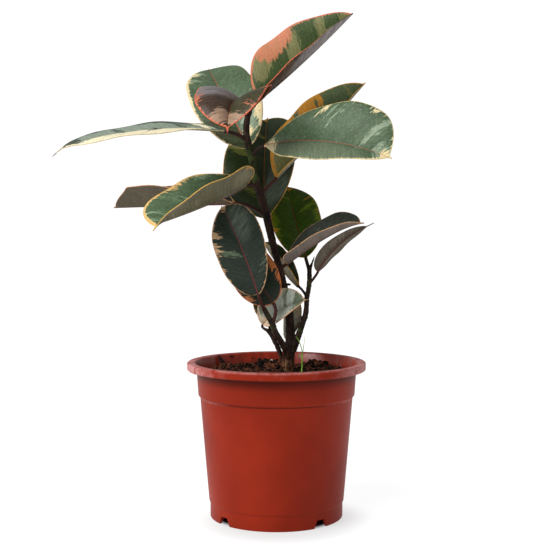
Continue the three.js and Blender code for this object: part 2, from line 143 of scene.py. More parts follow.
# Leaves
BLADE_THICKNESS = 0.7
RIDGE_DEPTH = 1.3
RIDGE_WIDTH = 1.5
BLADE_ROWS = 84
BLADE_COLUMNS = 36
END_CROWDING = 0.6
MIDRIB_CROWDING = 1.2
RIDGE_TAPER = 0.8
WAVE_COUNT = 2.5
WAVE_SHARE = 0.016
WAVE_SHIFT = 0.3
TIP_CURVE = 0.68
DRIP_SHARE = 0.03
DRIP_START = 1.6
DRIP_CURVE = 0.8
DROOP_START = 0.88
CURL_MIDDLE = 0.6
VEIN_LEAN = 0.55
VEIN_GAP = 4.6

# Stalks, which are thinner on leaves whose left half is narrower than the small one
PETIOLE_RADIUS = 1.7
PETIOLE_STEPS = 8
PETIOLE_SINK = 0.6
SMALL_HALF = 20
SMALL_PETIOLE = 0.75
FOOT_SWELL = 0.35
SWELL_SHARE = 0.16

# The step that the outline's slope is read over, the least room at the ends of the midrib, and how
# far outside every patch a place counts as being
EDGE_STEP = 0.01
END_EDGE = 0.4
PATCHLESS = 9

# How far in millimetres streaks and teeth push the edge of each kind of patch, and its softness
PATCH_EDGES = {"margin": (6, 2.4, 0.15), "cream": (18, 9, 0.2), "pale": (15, 9, 0.3)}

# Pale flecks show less on a blade whose green is darker than this
DEEP_GREEN = 62
DEEP_FLECKS = 0.12
LIGHT_FLECKS = 0.32
# How deep inside a patch of painted sheen, in millimetres, it reaches its full strength
SHEEN_EDGE = 12

# How far apart the leaves' patterns lie in the noise, and where the undersides' pattern lies. The
# two sides' roughness, and how much their side veins show.
SEED_STEP = 7.3
UNDER_SEED = 3.7
FACE_SKIN = (0.34, 0.06)
UNDER_SKIN = (0.5, 0.3)


class Leaf:
    """A leaf's shape and looks, and how a leaf is where its own line doesn't say.

    Its places are the stalk's root on the stem and the base, middle and tip of its midrib. Face is
    the way that its upper side looks. Halves are the widths of its left and right halves, fold is
    how far they rise, and curl how their rise changes outwards, in millimetres and degrees. The
    outline of a half is where it is widest and how it tapers to the base and to the tip.

    Margins are the widths of the left and right margins from base to tip. Cream, pale and dark
    are patches of (share of the length, share of the half width, reach along the side veins,
    width), where dark cuts into cream and pale, and so are the patches of painted sheen, light
    reflected off the blade, which on leaf_top_back's face paint a darker tone.
    """

    outline = ((0.45, 0.5, 2.4),) * 2
    body = 0.93
    twist = 0
    flare = (0, 0)
    droop = 0
    under = "olive"
    cream = pale = dark = sheen_and_tone = ()

    def __init__(self, name, *places, **rest):
        self.name = name
        self.stalk, self.base, self.middle, self.tip, self.face = map(Vector, places)
        vars(self).update(rest)


# Shades of a blade, as the 0 to 255 values that a screen shows. A shade for sheen paints sheen,
# light reflected off the blade, into the colour.
GREEN = dict(dark=(76, 97, 68), pale=(146, 162, 136), cream=(236, 214, 164), rim=(222, 196, 136),
             rib=(166, 86, 64))
SLATE = dict(dark=(37, 48, 39), pale=(98, 114, 90), cream=(212, 168, 126), rim=(208, 162, 116),
             rib=(116, 46, 48), sheen_and_tone=(94, 104, 92))
# Deep greens and golds: painted light shining through the blade from behind, on leaves in shade
BACKLIT_DEEP = dict(dark=(36, 52, 22), pale=(112, 118, 50), cream=(200, 140, 50), rim=(200, 146, 58),
            rib=(140, 84, 40), sheen_and_tone=(84, 94, 80))
SALMON = dict(dark=(62, 81, 42), pale=(132, 129, 84), cream=(197, 118, 85), rim=(210, 100, 68),
              rib=(186, 70, 48))
CORAL = dict(dark=(56, 54, 30), dark_right=(66, 50, 40), pale=(172, 140, 116), cream=(208, 116, 82),
             rim=(204, 92, 64), rib=(128, 44, 44), sheen_and_tone=(136, 130, 132))
UNDERSIDES = {
    # Partly painted shade: darker browns for the undersides of the two top leaves, which lie in shade
    "brown": dict(dark=(60, 40, 24), pale=(88, 72, 58), cream=(150, 92, 66), rim=(168, 92, 62),
                  rib=(88, 44, 38), sheen_and_tone=(146, 140, 140)),
    "purple": dict(dark=(84, 75, 55), pale=(112, 102, 82), cream=(150, 108, 74), rim=(150, 92, 56),
                   rib=(82, 46, 42), sheen_and_tone=(128, 116, 108)),
    "grey": dict(dark=(116, 104, 95), pale=(132, 122, 110), cream=(200, 160, 120),
                 rim=(206, 162, 114), rib=(84, 50, 44)),
    "olive": dict(dark=(98, 94, 69), pale=(134, 128, 102), cream=(190, 142, 70), rim=(206, 154, 74),
                  rib=(84, 54, 46), sheen_and_tone=(126, 122, 98)),
    "straw": dict(dark=(136, 128, 98), pale=(162, 154, 124), cream=(204, 176, 130),
                  rim=(200, 150, 100), rib=(112, 78, 56)),
}

LEAVES = [
    Leaf("leaf_top_upright", (-26, 0, 383), (-16.5, 0, 395), (28, -2, 433), (72, 0, 476),
         (-0.5, -0.6, 0.5), halves=(37.5, 33.5), fold=(46, 46), curl=(-14, 6),
         outline=((0.32, 0.5, 2),) * 2, body=0.985, upper=SALMON, under="brown",
         margins=((3, 2, 2.5, 1.2, 1), (2, 1.4, -0.2, -0.5, -0.6)),
         cream=((0.42, -0.95, 15, 22), (0.27, -0.9, 8, 8), (0.3, 0.98, 3, 6)),
         pale=((0.2, -0.72, 14, 12), (0.46, -0.35, 17, 8), (0.745, -0.5, 18, 5), (0.94, -0.4, 10, 7),
               (0.3, 0.5, 14, 8), (0.7, 0.5, 14, 7)), sheen_and_tone=((0.76, 0.6, 36, 60),)),
    Leaf("leaf_top_arching", (-26.5, 0, 381), (-28, -12, 386), (-39.5, -61, 384.8), (-42, -98, 355),
         (0, -0.5, 0.9), halves=(38, 33.5), fold=(34, 31), curl=(-13, -41),
         outline=((0.5, 0.5, 2.6),) * 2, flare=(0, -8), upper=CORAL, under="brown",
         margins=((0.4, 0.6, 0.6, 1, 0.6), (0.8, 0.6, 0.6, 1.2, 0.8)),
         cream=((0.74, -0.75, 6, 2.4), (0.5, -0.96, 6, 6), (0.34, -0.9, 7, 3), (0.66, 0.98, 3, 5)),
         pale=((0.86, -0.4, 9, 8), (0.84, 0.45, 10, 9), (0.3, -0.6, 9, 3)),
         dark=((0.12, -0.6, 8, 5), (0.3, -0.7, 5, 3)), sheen_and_tone=((0.36, 0.5, 30, 26), (0.3, -0.3, 16, 14))),
    Leaf("leaf_top_back", (-22.5, 0, 333), (-27.5, 9, 350), (-53, 45, 404), (-70, 95, 437),
         (0.1, -0.8, 0.6), halves=(34, 35), fold=(8, 24), curl=(-16, -12),
         outline=((0.4, 0.6, 2.8), (0.44, 0.62, 2.8)), body=0.97,
         upper=dict(GREEN, sheen_and_tone=(64, 62, 36), rim=(222, 176, 120)),
         margins=((0.4, 0.8, 2.4, 2.2, 1), (0.8, 0.6, 0, -0.3, 0.2)),
         cream=((0.2, 0.97, 7, 22), (0.75, -0.98, 4, 4), (0.86, -0.92, 5, 5), (0.12, 0.3, 6, 5)),
         pale=((0.74, -0.75, 6, 2.6), (0.86, -0.7, 6, 3), (0.24, 0.5, 9, 16)),
         dark=((0.8, -0.85, 6, 2), (0.9, -0.6, 5, 1.4)), sheen_and_tone=((0.14, -0.6, 26, 26),)),
    Leaf("leaf_far_left", (-28, 0, 357), (-49, -12, 365), (-125, -35, 362.8), (-201.5, -50, 345.5),
         (0, -0.245, 0.97), halves=(31, 29), fold=(7, 6), curl=(-8, -8),
         outline=((0.45, 0.5, 2.6), (0.3, 0.4, 2.8)), body=0.95, twist=15, flare=(4, -10), droop=7,
         upper=dict(GREEN, dark=(60, 76, 62), pale=(152, 166, 148), cream=(250, 238, 200),
                    rim=(190, 166, 120)), margins=((1, 3, 6, 6, -1), (0, 0, 0, -0.4, -2)),
         cream=((0.46, -0.72, 20, 40), (0.72, -0.75, 15, 20), (0.24, -0.8, 16, 12), (0.12, 0.4, 14, 5)),
         pale=((0.45, 0.1, 19, 48), (0.1, 0, 18, 10), (0.72, 0, 15, 16)),
         dark=((0.4, -0.2, 11, 5), (0.6, 0.3, 9, 3), (0.88, -0.3, 10, 8), (0.25, 0.3, 8, 4))),
    Leaf("leaf_right_broad", (-23.5, 0, 341), (-12, -12, 351), (44, -50, 352), (101, -78, 335),
         (0.1, -0.8, 0.55), halves=(41.5, 36.5), fold=(28, 24), curl=(-16, -14),
         outline=((0.66, 1.15, 3.6), (0.45, 1.2, 1.6)), body=0.975,
         upper=dict(GREEN, sheen_and_tone=(110, 122, 98)), margins=((0.2, 0, 0, 0, 0.8), (2.4, 0.4, 0, 0.3, 2)),
         cream=((0.46, -0.97, 7, 2), (0.1, 0.6, 11, 7), (0.95, 0.4, 8, 5), (0.8, -1, 3, 6)),
         pale=((0.83, -0.55, 18, 3.4), (0.55, -0.72, 7, 1.2), (0.5, -0.85, 4, 1), (0.9, 0.2, 14, 5),
               (0.96, -0.4, 9, 3)), sheen_and_tone=((0.5, 0.75, 30, 80),)),
    Leaf("leaf_right_back", (-15, 0, 305), (0, 4, 322), (44, 28, 368), (89, 60, 419), (-0.4, -0.4, 0.8),
         halves=(34.5, 33.5), fold=(45, 31), curl=(-12, 0), outline=((0.4, 0.7, 2.9), (0.42, 0.5, 3)),
         body=0.98, upper=dict(BACKLIT_DEEP, dark=(72, 88, 54), cream=(190, 126, 20), pale=(118, 114, 66)),
         margins=((4.4, 2.6, 1.4, 0.9, 1), (0.8, 0.8, 0.8, 0.6, 0.6)),
         cream=((0.5, -0.85, 22, 32), (0.2, -0.92, 8, 14)),
         dark=((0.45, -0.85, 7, 4), (0.36, -0.55, 6, 4), (0.62, -0.7, 4, 1.5)),
         pale=((0.1, -0.4, 18, 14), (0.2, 0.4, 10, 8), (0.3, -0.6, 12, 8), (0.86, -0.45, 8, 1.2))),
    Leaf("leaf_left_folded", (-17.5, 0, 312), (-28, -12, 314), (-69, -55, 293), (-107, -90, 277),
         (0, -0.3, 0.95), halves=(45, 34), fold=(52, 40), curl=(-10, -14),
         outline=((0.32, 0.45, 2), (0.72, 0.6, 4.4)), body=0.965, flare=(0, -40), droop=5,
         upper=dict(GREEN, pale=(124, 148, 118), cream=(222, 180, 112), rim=(216, 166, 72)),
         margins=((0.8, 0.6, 0.4, 0.6, 1.4), (0.6, 0.8, 2, 2.6, 2.4)),
         cream=((0.55, 0.98, 4, 14), (0.16, -0.97, 4, 5), (0.3, -0.98, 3, 3)),
         pale=((0.7, 0.8, 10, 0.9), (0.86, 0.6, 10, 1.2), (0.62, 0.7, 6, 0.7), (0.93, 0.6, 9, 1),
               (0.35, 0.95, 5, 8)), sheen_and_tone=((0.14, -0.5, 24, 18), (0.6, -0.3, 10, 8))),
    Leaf("leaf_left_back", (-10, 0, 285), (-40, 4, 298), (-95, 36, 297), (-166, 80, 295), (0, -0.05, 1),
         halves=(29, 29), fold=(48, 48), curl=(-10, -10), outline=((0.82, 1, 0.8), (0.5, 0.9, 2.6)),
         body=0.985, upper=SLATE, under="purple", margins=((0.6, 0.6, 0.4, 0.4, 0.4), (1, 1)),
         cream=((0.5, 0.9, 10, 8),), pale=((0.3, 0.5, 12, 5),)),
    Leaf("leaf_centre_back", (-7, 0, 271), (-10, 14, 283), (-12, 50, 333), (-9, 100, 388),
         (0, -0.8, 0.5), halves=(41, 38), fold=(2, 42), curl=(-10, -12),
         outline=((0.45, 0.75, 3.2), (0.5, 0.8, 3.4)), body=0.98, upper=BACKLIT_DEEP,
         margins=((0.2, 0.3, 0.4, 0.3, 0.5), (0, 0, 0.2, 0.2, 0.4)), cream=((0.97, -0.2, 4, 1),),
         pale=((0.27, -0.55, 13, 2.5), (0.62, -0.65, 14, 5), (0.8, -0.3, 6, 3)),
         sheen_and_tone=((0.28, 0.6, 26, 30),)),
    Leaf("leaf_low_left", (-11.5, -19, 198), (-17, -29, 213), (-34, -38, 261), (-51, -28, 294.5),
         (-0.2, -1, 0.1), halves=(24.5, 24), fold=(10, 10), curl=(-18, -14),
         outline=((0.4, 0.4, 2.4), (0.6, 0.65, 2.6)), body=0.975, upper=SLATE,
         margins=((0.8, 0.9, 0.8, 0.9, 1.8), (0.8, 0.6, 0.5, 0.5, 0.6)),
         cream=((0.74, -0.98, 4.4, 3.5), (0.6, -1, 4.4, 6), (0.97, -0.4, 5, 4), (0.36, -0.98, 2.5, 2)),
         pale=((0.53, -0.72, 9, 1.8), (0.3, 0.7, 4, 1.6)), sheen_and_tone=((0.78, 0.45, 15, 24),)),
    Leaf("leaf_low_under", (-4, -17.5, 186), (-3, -19, 204), (-28, -9, 237), (-55, 7, 263),
         (-0.2, -1, 0.2), halves=(21, 24), fold=(10, 10), curl=(-8, -8),
         outline=((0.35, 0.5, 2), (0.45, 0.5, 2.4)),
         upper=dict(SLATE, dark=(34, 42, 32), cream=(196, 112, 62), rim=(190, 104, 54),
                    rib=(88, 46, 38)), margins=((0.8, 0.8, 0.8, 0.6, 0.6), (0.6, 1, 1.2, 0.8, 0.6)),
         cream=((0.4, 0.97, 6, 8), (0.22, 0.97, 4, 5), (0.2, -0.9, 4, 4))),
    Leaf("leaf_right_round", (31.5, 2, 232), (28, 10, 246), (19, 32, 280), (10, 60, 317),
         (0.1, -0.8, 0.4), halves=(23.5, 26), fold=(5, 5), curl=(-12, -12),
         outline=((0.5, 0.5, 2.8), (0.6, 0.7, 2.8)), body=0.97,
         # Yellow greens: painted light shining through the blade from behind
         upper=dict(dark=(55, 84, 17), pale=(112, 132, 26), cream=(214, 142, 52), rim=(196, 122, 44),
                    rib=(98, 50, 24)), margins=((0, 0, 0, 0.2, 0.4), (0, 0.2, 0.3, 0.3, 0.2)),
         cream=((0.78, 0.98, 3, 1.5), (0.93, 0.1, 4, 1), (0.6, 0.99, 2, 2), (0.4, -0.99, 2, 2)),
         pale=((0.5, -0.97, 5, 20), (0.5, 0.97, 5, 20), (0.84, -0.5, 7, 2), (0.65, 0.6, 5, 2),
               (0.12, 0.3, 6, 3))),
    Leaf("leaf_mid_right", (3, 3, 236), (10, -4, 241), (51, -24, 269), (80, -37, 279), (0, -0.34, 0.94),
         halves=(22, 19), fold=(41, 45), curl=(-14, -6), outline=((0.5, 0.6, 2.4), (0.12, 0.5, 1)),
         twist=30, flare=(0, -5), upper=dict(SLATE, dark=(64, 70, 62), pale=(96, 100, 88)),
         under="grey", margins=((0, 0, 0, 0.3, 0.8), (0, 0)), pale=((0.5, -0.7, 7, 1.2),)),
    Leaf("leaf_right_hanging", (31, 1, 221), (39, -4, 233), (60, -10, 259.5), (92, -6, 279),
         (-0.5, 0.75, 0.5), halves=(16, 10), fold=(30, 35), curl=(-10, -14),
         outline=((0.4, 0.5, 1.8), (0.3, 0.5, 1.6)), body=0.9, upper=SLATE, under="purple",
         margins=((-1, -1), (-1, -1)), sheen_and_tone=((0.5, 0.6, 9, 60),)),
    Leaf("leaf_mid_small", (29, -1, 208), (21, 9, 219), (3, 26, 238), (-14, 33, 264), (0.35, -0.6, 0.5),
         halves=(14, 13.5), fold=(74, 48), curl=(-8, -8), outline=((0.45, 0.5, 2.4), (0.6, 0.7, 2.4)),
         upper=BACKLIT_DEEP, under="straw", margins=((0, 0, 0, 0, 0.4), (0.3, 0.3, 0.3, 0.3, 0.6))),
    Leaf("leaf_low_pale", (-8.5, -2, 177), (-13, 2, 182), (7, -3, 199), (30, -10, 207), (0, -1, 0.1),
         halves=(19, 15), fold=(8, 58), curl=(-12, -8), outline=((0.4, 0.5, 2.4), (0.4, 0.5, 2)),
         upper=dict(dark=(112, 126, 98), pale=(200, 206, 194), cream=(230, 200, 168),
                    rim=(210, 150, 100), rib=(158, 132, 104)), under="straw",
         margins=((0.6, 0.5, 0.4, 0.6, 1), (3, 2, 1.2, 0.6, 0.8)),
         cream=((0.08, 0.2, 12, 6), (0.62, -0.9, 4, 2)),
         pale=((0.32, -0.2, 20, 12), (0.4, 0.3, 14, 10), (0.15, 0, 12, 12), (0.66, -0.3, 12, 4))),
    Leaf("leaf_low_hidden", (-5.5, -2, 173), (-9, 8, 188), (-13, 13, 200), (-18, 21, 213),
         (-0.2, -1, 0.2), halves=(9.5, 9.5), fold=(10, 10), curl=(-6, -6),
         upper=dict(BACKLIT_DEEP, rim=(210, 140, 104)), under="straw", margins=((0.4, 0.4), (0.4, 0.4)),
         pale=((0.5, 0.3, 6, 5),)),
    Leaf("leaf_low_back", (27.3, -2, 191), (24, 8, 188), (15, 25, 182), (7, 45, 168), (-0.8, -0.5, 0.3),
         halves=(18, 19), fold=(10, 10), curl=(-8, -8), outline=((0.4, 0.4, 2.6), (0.4, 0.4, 2.4)),
         body=0.97,
         upper=dict(dark=(88, 86, 60), pale=(142, 134, 104), cream=(158, 132, 92), rim=(122, 86, 52),
                    rib=(110, 92, 70)), under="straw",
         margins=((0.6, 0.4, 0.4, 0.6, 1), (0.8, 1, 1, 0.6, 0.8)),
         cream=((0.15, 0.6, 8, 5), (0.2, -0.9, 7, 4)), pale=((0.25, -0.4, 12, 8), (0.3, 0.3, 12, 8))),
]

# The woody stem's routes, each a list of x, y, z and radius
TRUNK = (
    (11.5, 0, 98, 3.8), (11.5, 0, 118, 4.6), (11.5, 0, 138, 5), (11.5, 0, 146, 5.6),
    (12.5, 2, 156, 5.4), (13.5, 4, 167, 5), (13, 6, 179, 4.4), (12.5, 6, 190, 4),
    (10, 5, 205, 3.7), (6.5, 4, 221, 3.6), (3, 3, 236, 3.4), (-0.5, 2, 248, 3.4),
    (-3.5, 1, 260, 3.6), (-7, 0, 275, 3.8), (-10.5, 0, 290, 3.8), (-14, 0, 302, 3.8),
    (-17.5, 0, 312, 3.7), (-20, 0, 321, 3.7), (-22, 0, 331, 3.6), (-23.5, 0, 341, 3.5),
    (-26, 0, 351, 3.5), (-28, 0, 360, 3.3), (-28.5, 0, 369, 3.1), (-27.5, 0, 378, 2.9),
    (-25.5, 0, 385, 2.6), (-27, 2, 392, 1.7), (-29, 4, 399, 0.5),
)
LEFT_BRANCH = (
    (12.5, -1, 149, 4), (9, -6.5, 158.5, 3.4), (4, -11.5, 167.5, 3.1), (-1, -15.5, 176.5, 2.9),
    (-4, -17.5, 185, 2.9), (-8, -18.5, 192, 2.6), (-12, -19, 199.5, 2.4),
)
TWIG = (
    (8.5, -1, 143, 3.2), (5, -2, 151.5, 2.5), (1.5, -2, 160, 2.3), (-2, -2, 167, 2.2),
    (-5.5, -2, 173.5, 2.1), (-9, -2, 177.5, 1.9),
)
RIGHT_BRANCH = (
    (15.5, 2, 157.5, 4), (19, 0, 166.5, 3.3), (22, -1, 175, 3), (25, -2, 184, 2.8),
    (27.5, -2, 191.5, 2.8), (28.5, -2, 200, 2.5), (29, -1, 209, 2.5), (30.5, 0, 216, 2.4),
    (31.5, 1, 225, 2.4), (31.5, 2, 233.5, 2.2), (33.5, 1.5, 240, 1.2), (36, 1, 247, 0.5),
)
SCAR_STUB = ((7, 4, 219, 1.6), (10.5, 2, 220.5, 1.3), (13.5, 1, 220.5, 0.9))
STEM_TUBES = ((TRUNK, 20), (LEFT_BRANCH, 16), (TWIG, 14), (RIGHT_BRANCH, 16), (SCAR_STUB, 12))
STEM_GRAIN = 0.5
KNOB_HEIGHT = 0.35
RING_HEIGHT = 0.16

# Heights between which the bark changes, and spots with young green skin and their reach
FIBROUS_FOOT_ENDS = (147, 162)
YOUNG_SKIN_STARTS = (315, 330)
YOUNG_SKIN_ENDS = (350, 366)
YOUNG_SPOTS = (((-9, -20, 194), 8), ((31, 0, 222), 8), ((22, -2, 176), 5), ((-3, -17, 182), 5))

GRASS_STALK = ((24, -4, 128, 0.8), (24, -4, 138, 0.7), (24.5, -4, 147, 0.6), (24.5, -4, 154, 0.5))
GRASS_BLADES = (
    ((24.5, -4, 153, 0.4), (24, -6, 159, 0.4), (21.5, -8, 167, 0.45), (18.5, -9, 172, 0.2)),
    ((24.5, -4, 153, 0.35), (26, -4, 163, 0.3), (27, -4, 172, 0.15)),
    ((24.5, -4, 150, 0.4), (22.5, -3, 153.5, 0.4), (21, -3, 155, 0.2)),
)

# What lies in the soil or sticks to the wall above it, each a list of x, y, z and radius
WALL_CLUMP = ((-50, 44, 134, 3.4), (-52.5, 46, 139, 2.4), (-55.5, 48, 143, 1.5), (-57.5, 49, 146.2, 1))
WALL_CRUMBS = ((-45, 60, 144.6, 1.3), (-42.5, 61.5, 145, 0.8), (-24, 69.5, 141.5, 0.9))
STRAWS = (
    ((-8, 27, 137.6, 0.5), (-5, 28.5, 139.4, 0.6), (-1.5, 30, 140.3, 0.5), (2, 31, 140.8, 0.3)),
    ((-7, 29, 139, 0.4), (-3.5, 28, 139.6, 0.5), (-1, 27.5, 139, 0.4)),
    ((39.5, 25, 138, 0.5), (38.5, 25.5, 140.5, 0.7), (39.5, 26, 142.8, 0.6), (40.5, 26, 144, 0.3)),
    ((36, 24, 138.4, 0.4), (38.5, 24.5, 138.9, 0.5), (41, 24, 138.4, 0.3)),
    ((-14, 26, 137.2, 0.5), (-12.5, 26.5, 138.6, 0.7), (-11, 26, 138, 0.4)),
    ((31, 29, 140.6, 0.5), (32, 29.5, 141.4, 0.7), (33, 29, 140.8, 0.4)),
)
PERLITE = ((-4.6, 40.5, 142.6, 1.6), (48, -22, 135.8, 1.1), (-30, -36, 135.9, 1))


def colour(red, green, blue):
    """A linear colour from the 0 to 255 values that a screen shows."""
    def linear(level):
        level /= 255
        return level / 12.92 if level <= 0.04045 else ((level + 0.055) / 1.055) ** 2.4

    return (linear(red), linear(green), linear(blue), 1)


def grey(level):
    return (level, level, level, 1)


def tone(tint):
    """What a colour socket takes: a tint of three numbers is one that a screen shows."""
    return colour(*tint) if isinstance(tint, tuple) and len(tint) == 3 else tint


def operator(operation, turned=False):
    """A method of Amount that adds one Math node for one of Python's operators."""
    def method(self, other):
        sides = (other, self) if turned else (self, other)
        return self.finish.math(operation, *sides)

    return method


class Amount:
    """A shader socket that Python's operators work on. Each expression adds its Math nodes."""

    __add__ = __radd__ = operator("ADD")
    __sub__ = operator("SUBTRACT")
    __rsub__ = operator("SUBTRACT", turned=True)
    __mul__ = operator("MULTIPLY")
    __truediv__ = operator("DIVIDE")
    __gt__ = operator("GREATER_THAN")

    def __init__(self, finish, socket):
        self.finish = finish
        self.socket = socket

    def __abs__(self):
        return self.finish.math("ABSOLUTE", self)

    def smooth(self, low=0.35, high=0.65):
        """0 below low, 1 above high, and a soft step between them."""
        spans = {"Value": self, "From Min": low, "From Max": high}
        return self.finish.node("MapRange", {"interpolation_type": "SMOOTHSTEP"}, spans)


class Finish:
    """One material, and the one way in which its nodes are made."""

    def __init__(self, name):
        self.material = bpy.data.materials.new(name)
        self.material.use_nodes = True
        self.tree = self.material.node_tree
        self.tree.nodes.clear()
        self.own_place = None

    def node(self, kind, settings=None, sockets=None, output=0):
        made = self.tree.nodes.new("ShaderNode" + kind)
        for name, value in (settings or {}).items():
            setattr(made, name, value)
        for name, value in (sockets or {}).items():
            if isinstance(value, Amount):
                self.tree.links.new(value.socket, made.inputs[name])
            else:
                made.inputs[name].default_value = value
        return Amount(self, made.outputs[output]) if made.outputs else made

    def math(self, operation, *values):
        return self.node("Math", {"operation": operation}, dict(enumerate(values)))

    def most(self, first, *others):
        for other in others:
            first = self.math("MAXIMUM", first, other)
        return first

    def mix(self, share, first, second):
        sockets = {0: share, 6: tone(first), 7: tone(second)}
        return self.node("Mix", {"data_type": "RGBA"}, sockets, output=2)

    def paint(self, tint, *coats):
        """A tint under coats of (share, tint), the last of them on top."""
        for share, coat in coats:
            tint = self.mix(share, tint, coat)
        return tint

    def shade(self, share, tint, amount):
        """Tint multiplied by a grey that share picks between 1 and amount."""
        settings = {"data_type": "RGBA", "blend_type": "MULTIPLY"}
        sockets = {0: 1.0, 6: tone(tint), 7: self.mix(share, grey(1), grey(amount))}
        return self.node("Mix", settings, sockets, output=2)

    def attribute(self, name):
        return self.node("Attribute", {"attribute_name": name}, output="Fac")

    def place(self):
        """The piece's own coordinates, in metres."""
        self.own_place = self.own_place or self.node("TexCoord", output="Object")
        return self.own_place

    def axis(self, name):
        """The piece's own X, Y or Z in millimetres."""
        return self.node("SeparateXYZ", sockets={"Vector": self.place()}, output=name) / MM

    def distance(self, spot):
        """How far from a spot, both in millimetres."""
        centre = [length * MM for length in spot]
        sockets = {0: self.place(), 1: centre}
        return self.node("VectorMath", {"operation": "DISTANCE"}, sockets, output=1) / MM

    def vector(self, x, y, z):
        return self.node("CombineXYZ", sockets={"X": x, "Y": y, "Z": z})

    def noise(self, scale, detail=2, rough=0.5, stretch=None, place=None):
        """Noise over the piece's own coordinates, stretched or not, or over another place."""
        place = place or self.place()
        if stretch:
            place = self.node("VectorMath", {"operation": "MULTIPLY"}, {0: place, 1: stretch})
        sockets = {"Vector": place, "Scale": scale, "Detail": detail, "Roughness": rough}
        return self.node("TexNoise", sockets=sockets, output="Fac")

    def bump(self, height, distance, strength, under=None):
        sockets = {"Height": height, "Distance": distance, "Strength": strength}
        if under:
            sockets["Normal"] = under
        return self.node("Bump", sockets=sockets)

    def surface(self, tint, rough, normal=None, shine=0.5, glow=None):
        """Ends the material with its one shader. Glow is a tint and its strength."""
        sockets = {"Base Color": tone(tint), "Roughness": rough, "Specular IOR Level": shine}
        if normal:
            sockets["Normal"] = normal
        if glow:
            sockets["Emission Color"], sockets["Emission Strength"] = glow
        shader = self.node("BsdfPrincipled", sockets=sockets)
        self.node("OutputMaterial", sockets={"Surface": shader})
        return self.material


# Pieces
def finished_mesh(name, bm):
    mesh = bpy.data.meshes.new(name)
    bm.to_mesh(mesh)
    bm.free()
    return mesh


def put(name, data):
    """A new object of the scene, at the origin and unturned."""
    made = bpy.data.objects.new(name, data)
    bpy.context.scene.collection.objects.link(made)
    return made


def piece(name, bm, materials, stands_for=()):
    """An object that holds the mesh, rides on the part and stands for its CAD nodes."""
    mesh = finished_mesh(name, bm)
    for material in materials:
        mesh.materials.append(material)
    mesh.shade_smooth()
    made = put(name, mesh)
    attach(made, "root")
    if stands_for:
        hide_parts(*stands_for)
    return made


def settle(made, modifier, **settings):
    """Puts a modifier on a piece and makes its result the piece's own mesh."""
    added = made.modifiers.new(modifier.title(), modifier)
    for name, value in settings.items():
        setattr(added, name, value)
    graph = bpy.context.evaluated_depsgraph_get()
    mesh = bpy.data.meshes.new_from_object(made.evaluated_get(graph))
    made.modifiers.clear()
    made.data = mesh


# Curves and tubes
def smooth_route(stops, samples=6):
    """Places on a smooth curve through stops of x, y, z and radius."""
    stops = [Vector(stop) for stop in stops]
    ends = [stops[0] * 2 - stops[1], *stops, stops[-1] * 2 - stops[-2]]
    places = []
    for before, start, end, after in zip(ends, ends[1:], ends[2:], ends[3:]):
        for step in range(samples):
            t = step / samples
            square = (2 * before - 5 * start + 4 * end - after) * t**2
            cube = (3 * start - before - 3 * end + after) * t**3
            places.append((2 * start + (end - before) * t + square + cube) / 2)
    return [*places, stops[-1]]


def wrap_routes(bm, routes, sides):
    """Wraps a tube round the curve through each route."""
    for route in routes:
        wrap_tube(bm, smooth_route(route), sides)


def wrap_tube(bm, places, sides):
    """Wraps a grid round places of x, y, z and radius in millimetres, and closes its ends."""
    points = [place.to_3d() for place in places]
    points = [points[0], *points, points[-1]]
    radii = [0, *[max(place.w, THINNEST_TUBE) for place in places], 0]
    steps = len(points) - 1
    frames = []
    across = TUBE_SEAM
    for step in range(steps + 1):
        ahead = points[min(step + 1, steps)]
        behind = points[max(step - 1, 0)]
        along = (ahead - behind).normalized()
        across = (across - along * across.dot(along)).normalized()
        frames.append((across, along.cross(across)))
    made = bmesh.ops.create_grid(bm, x_segments=sides, y_segments=steps, size=1)["verts"]
    faces = list({face for vert in made for face in vert.link_faces})
    for vert in made:
        turn = math.pi * vert.co.x
        step = round((vert.co.y + 1) / 2 * steps)
        right, up = frames[step]
        ring = (right * math.cos(turn) + up * math.sin(turn)) * radii[step]
        vert.co = (points[step] + ring) * MM
    bmesh.ops.remove_doubles(bm, verts=made, dist=SAME_PLACE)
    faces = [face for face in faces if face.is_valid]
    bmesh.ops.recalc_face_normals(bm, faces=faces)
    return faces


# The pot
def inner_wall():
    """The inside of the pot below the rim, from the top down to the middle of its floor."""
    return [
        (UPPER_LEDGE_RADIUS - WALL, UPPER_LEDGE_HEIGHT + 0.8),
        (BELOW_LEDGE_RADIUS - WALL, UPPER_LEDGE_HEIGHT - LEDGE_RISE - 0.6),
        (LOWER_LEDGE_RADIUS - WALL, LOWER_LEDGE_HEIGHT + 0.6),
        (FOOT_RADIUS - FOOT_WALL - 0.8, CHANNEL_HEIGHT + WALL),
        (BASE_DISC_RADIUS + 1.8, CHANNEL_HEIGHT + WALL),
        (BASE_DISC_RADIUS - 1.2, WALL),
        (0, WALL),
    ]


def pot_profile():
    """The pot's section, from the middle of its underside up and round to the inside."""
    foot_inner = FOOT_RADIUS - FOOT_WALL
    return [
        (0, 0),
        (BASE_DISC_RADIUS, 0),
        (BASE_DISC_RADIUS + 3, CHANNEL_HEIGHT),
        (foot_inner - 1.5, CHANNEL_HEIGHT),
        (foot_inner, 0),
        (FOOT_RADIUS, 0),
        (FOOT_RADIUS + 0.1, LOWER_LEDGE_HEIGHT - LEDGE_RISE),
        (LOWER_LEDGE_RADIUS, LOWER_LEDGE_HEIGHT),
        (BELOW_LEDGE_RADIUS, UPPER_LEDGE_HEIGHT - LEDGE_RISE),
        (UPPER_LEDGE_RADIUS, UPPER_LEDGE_HEIGHT),
        (BODY_TOP_RADIUS, RIM_BOTTOM),
        (RIM_RADIUS, RIM_BOTTOM),
        (RIM_RADIUS, POT_HEIGHT),
        (LIP_RADIUS, POT_HEIGHT),
        (BODY_TOP_RADIUS - WALL, RIM_BOTTOM - 1),
        *inner_wall(),
    ]


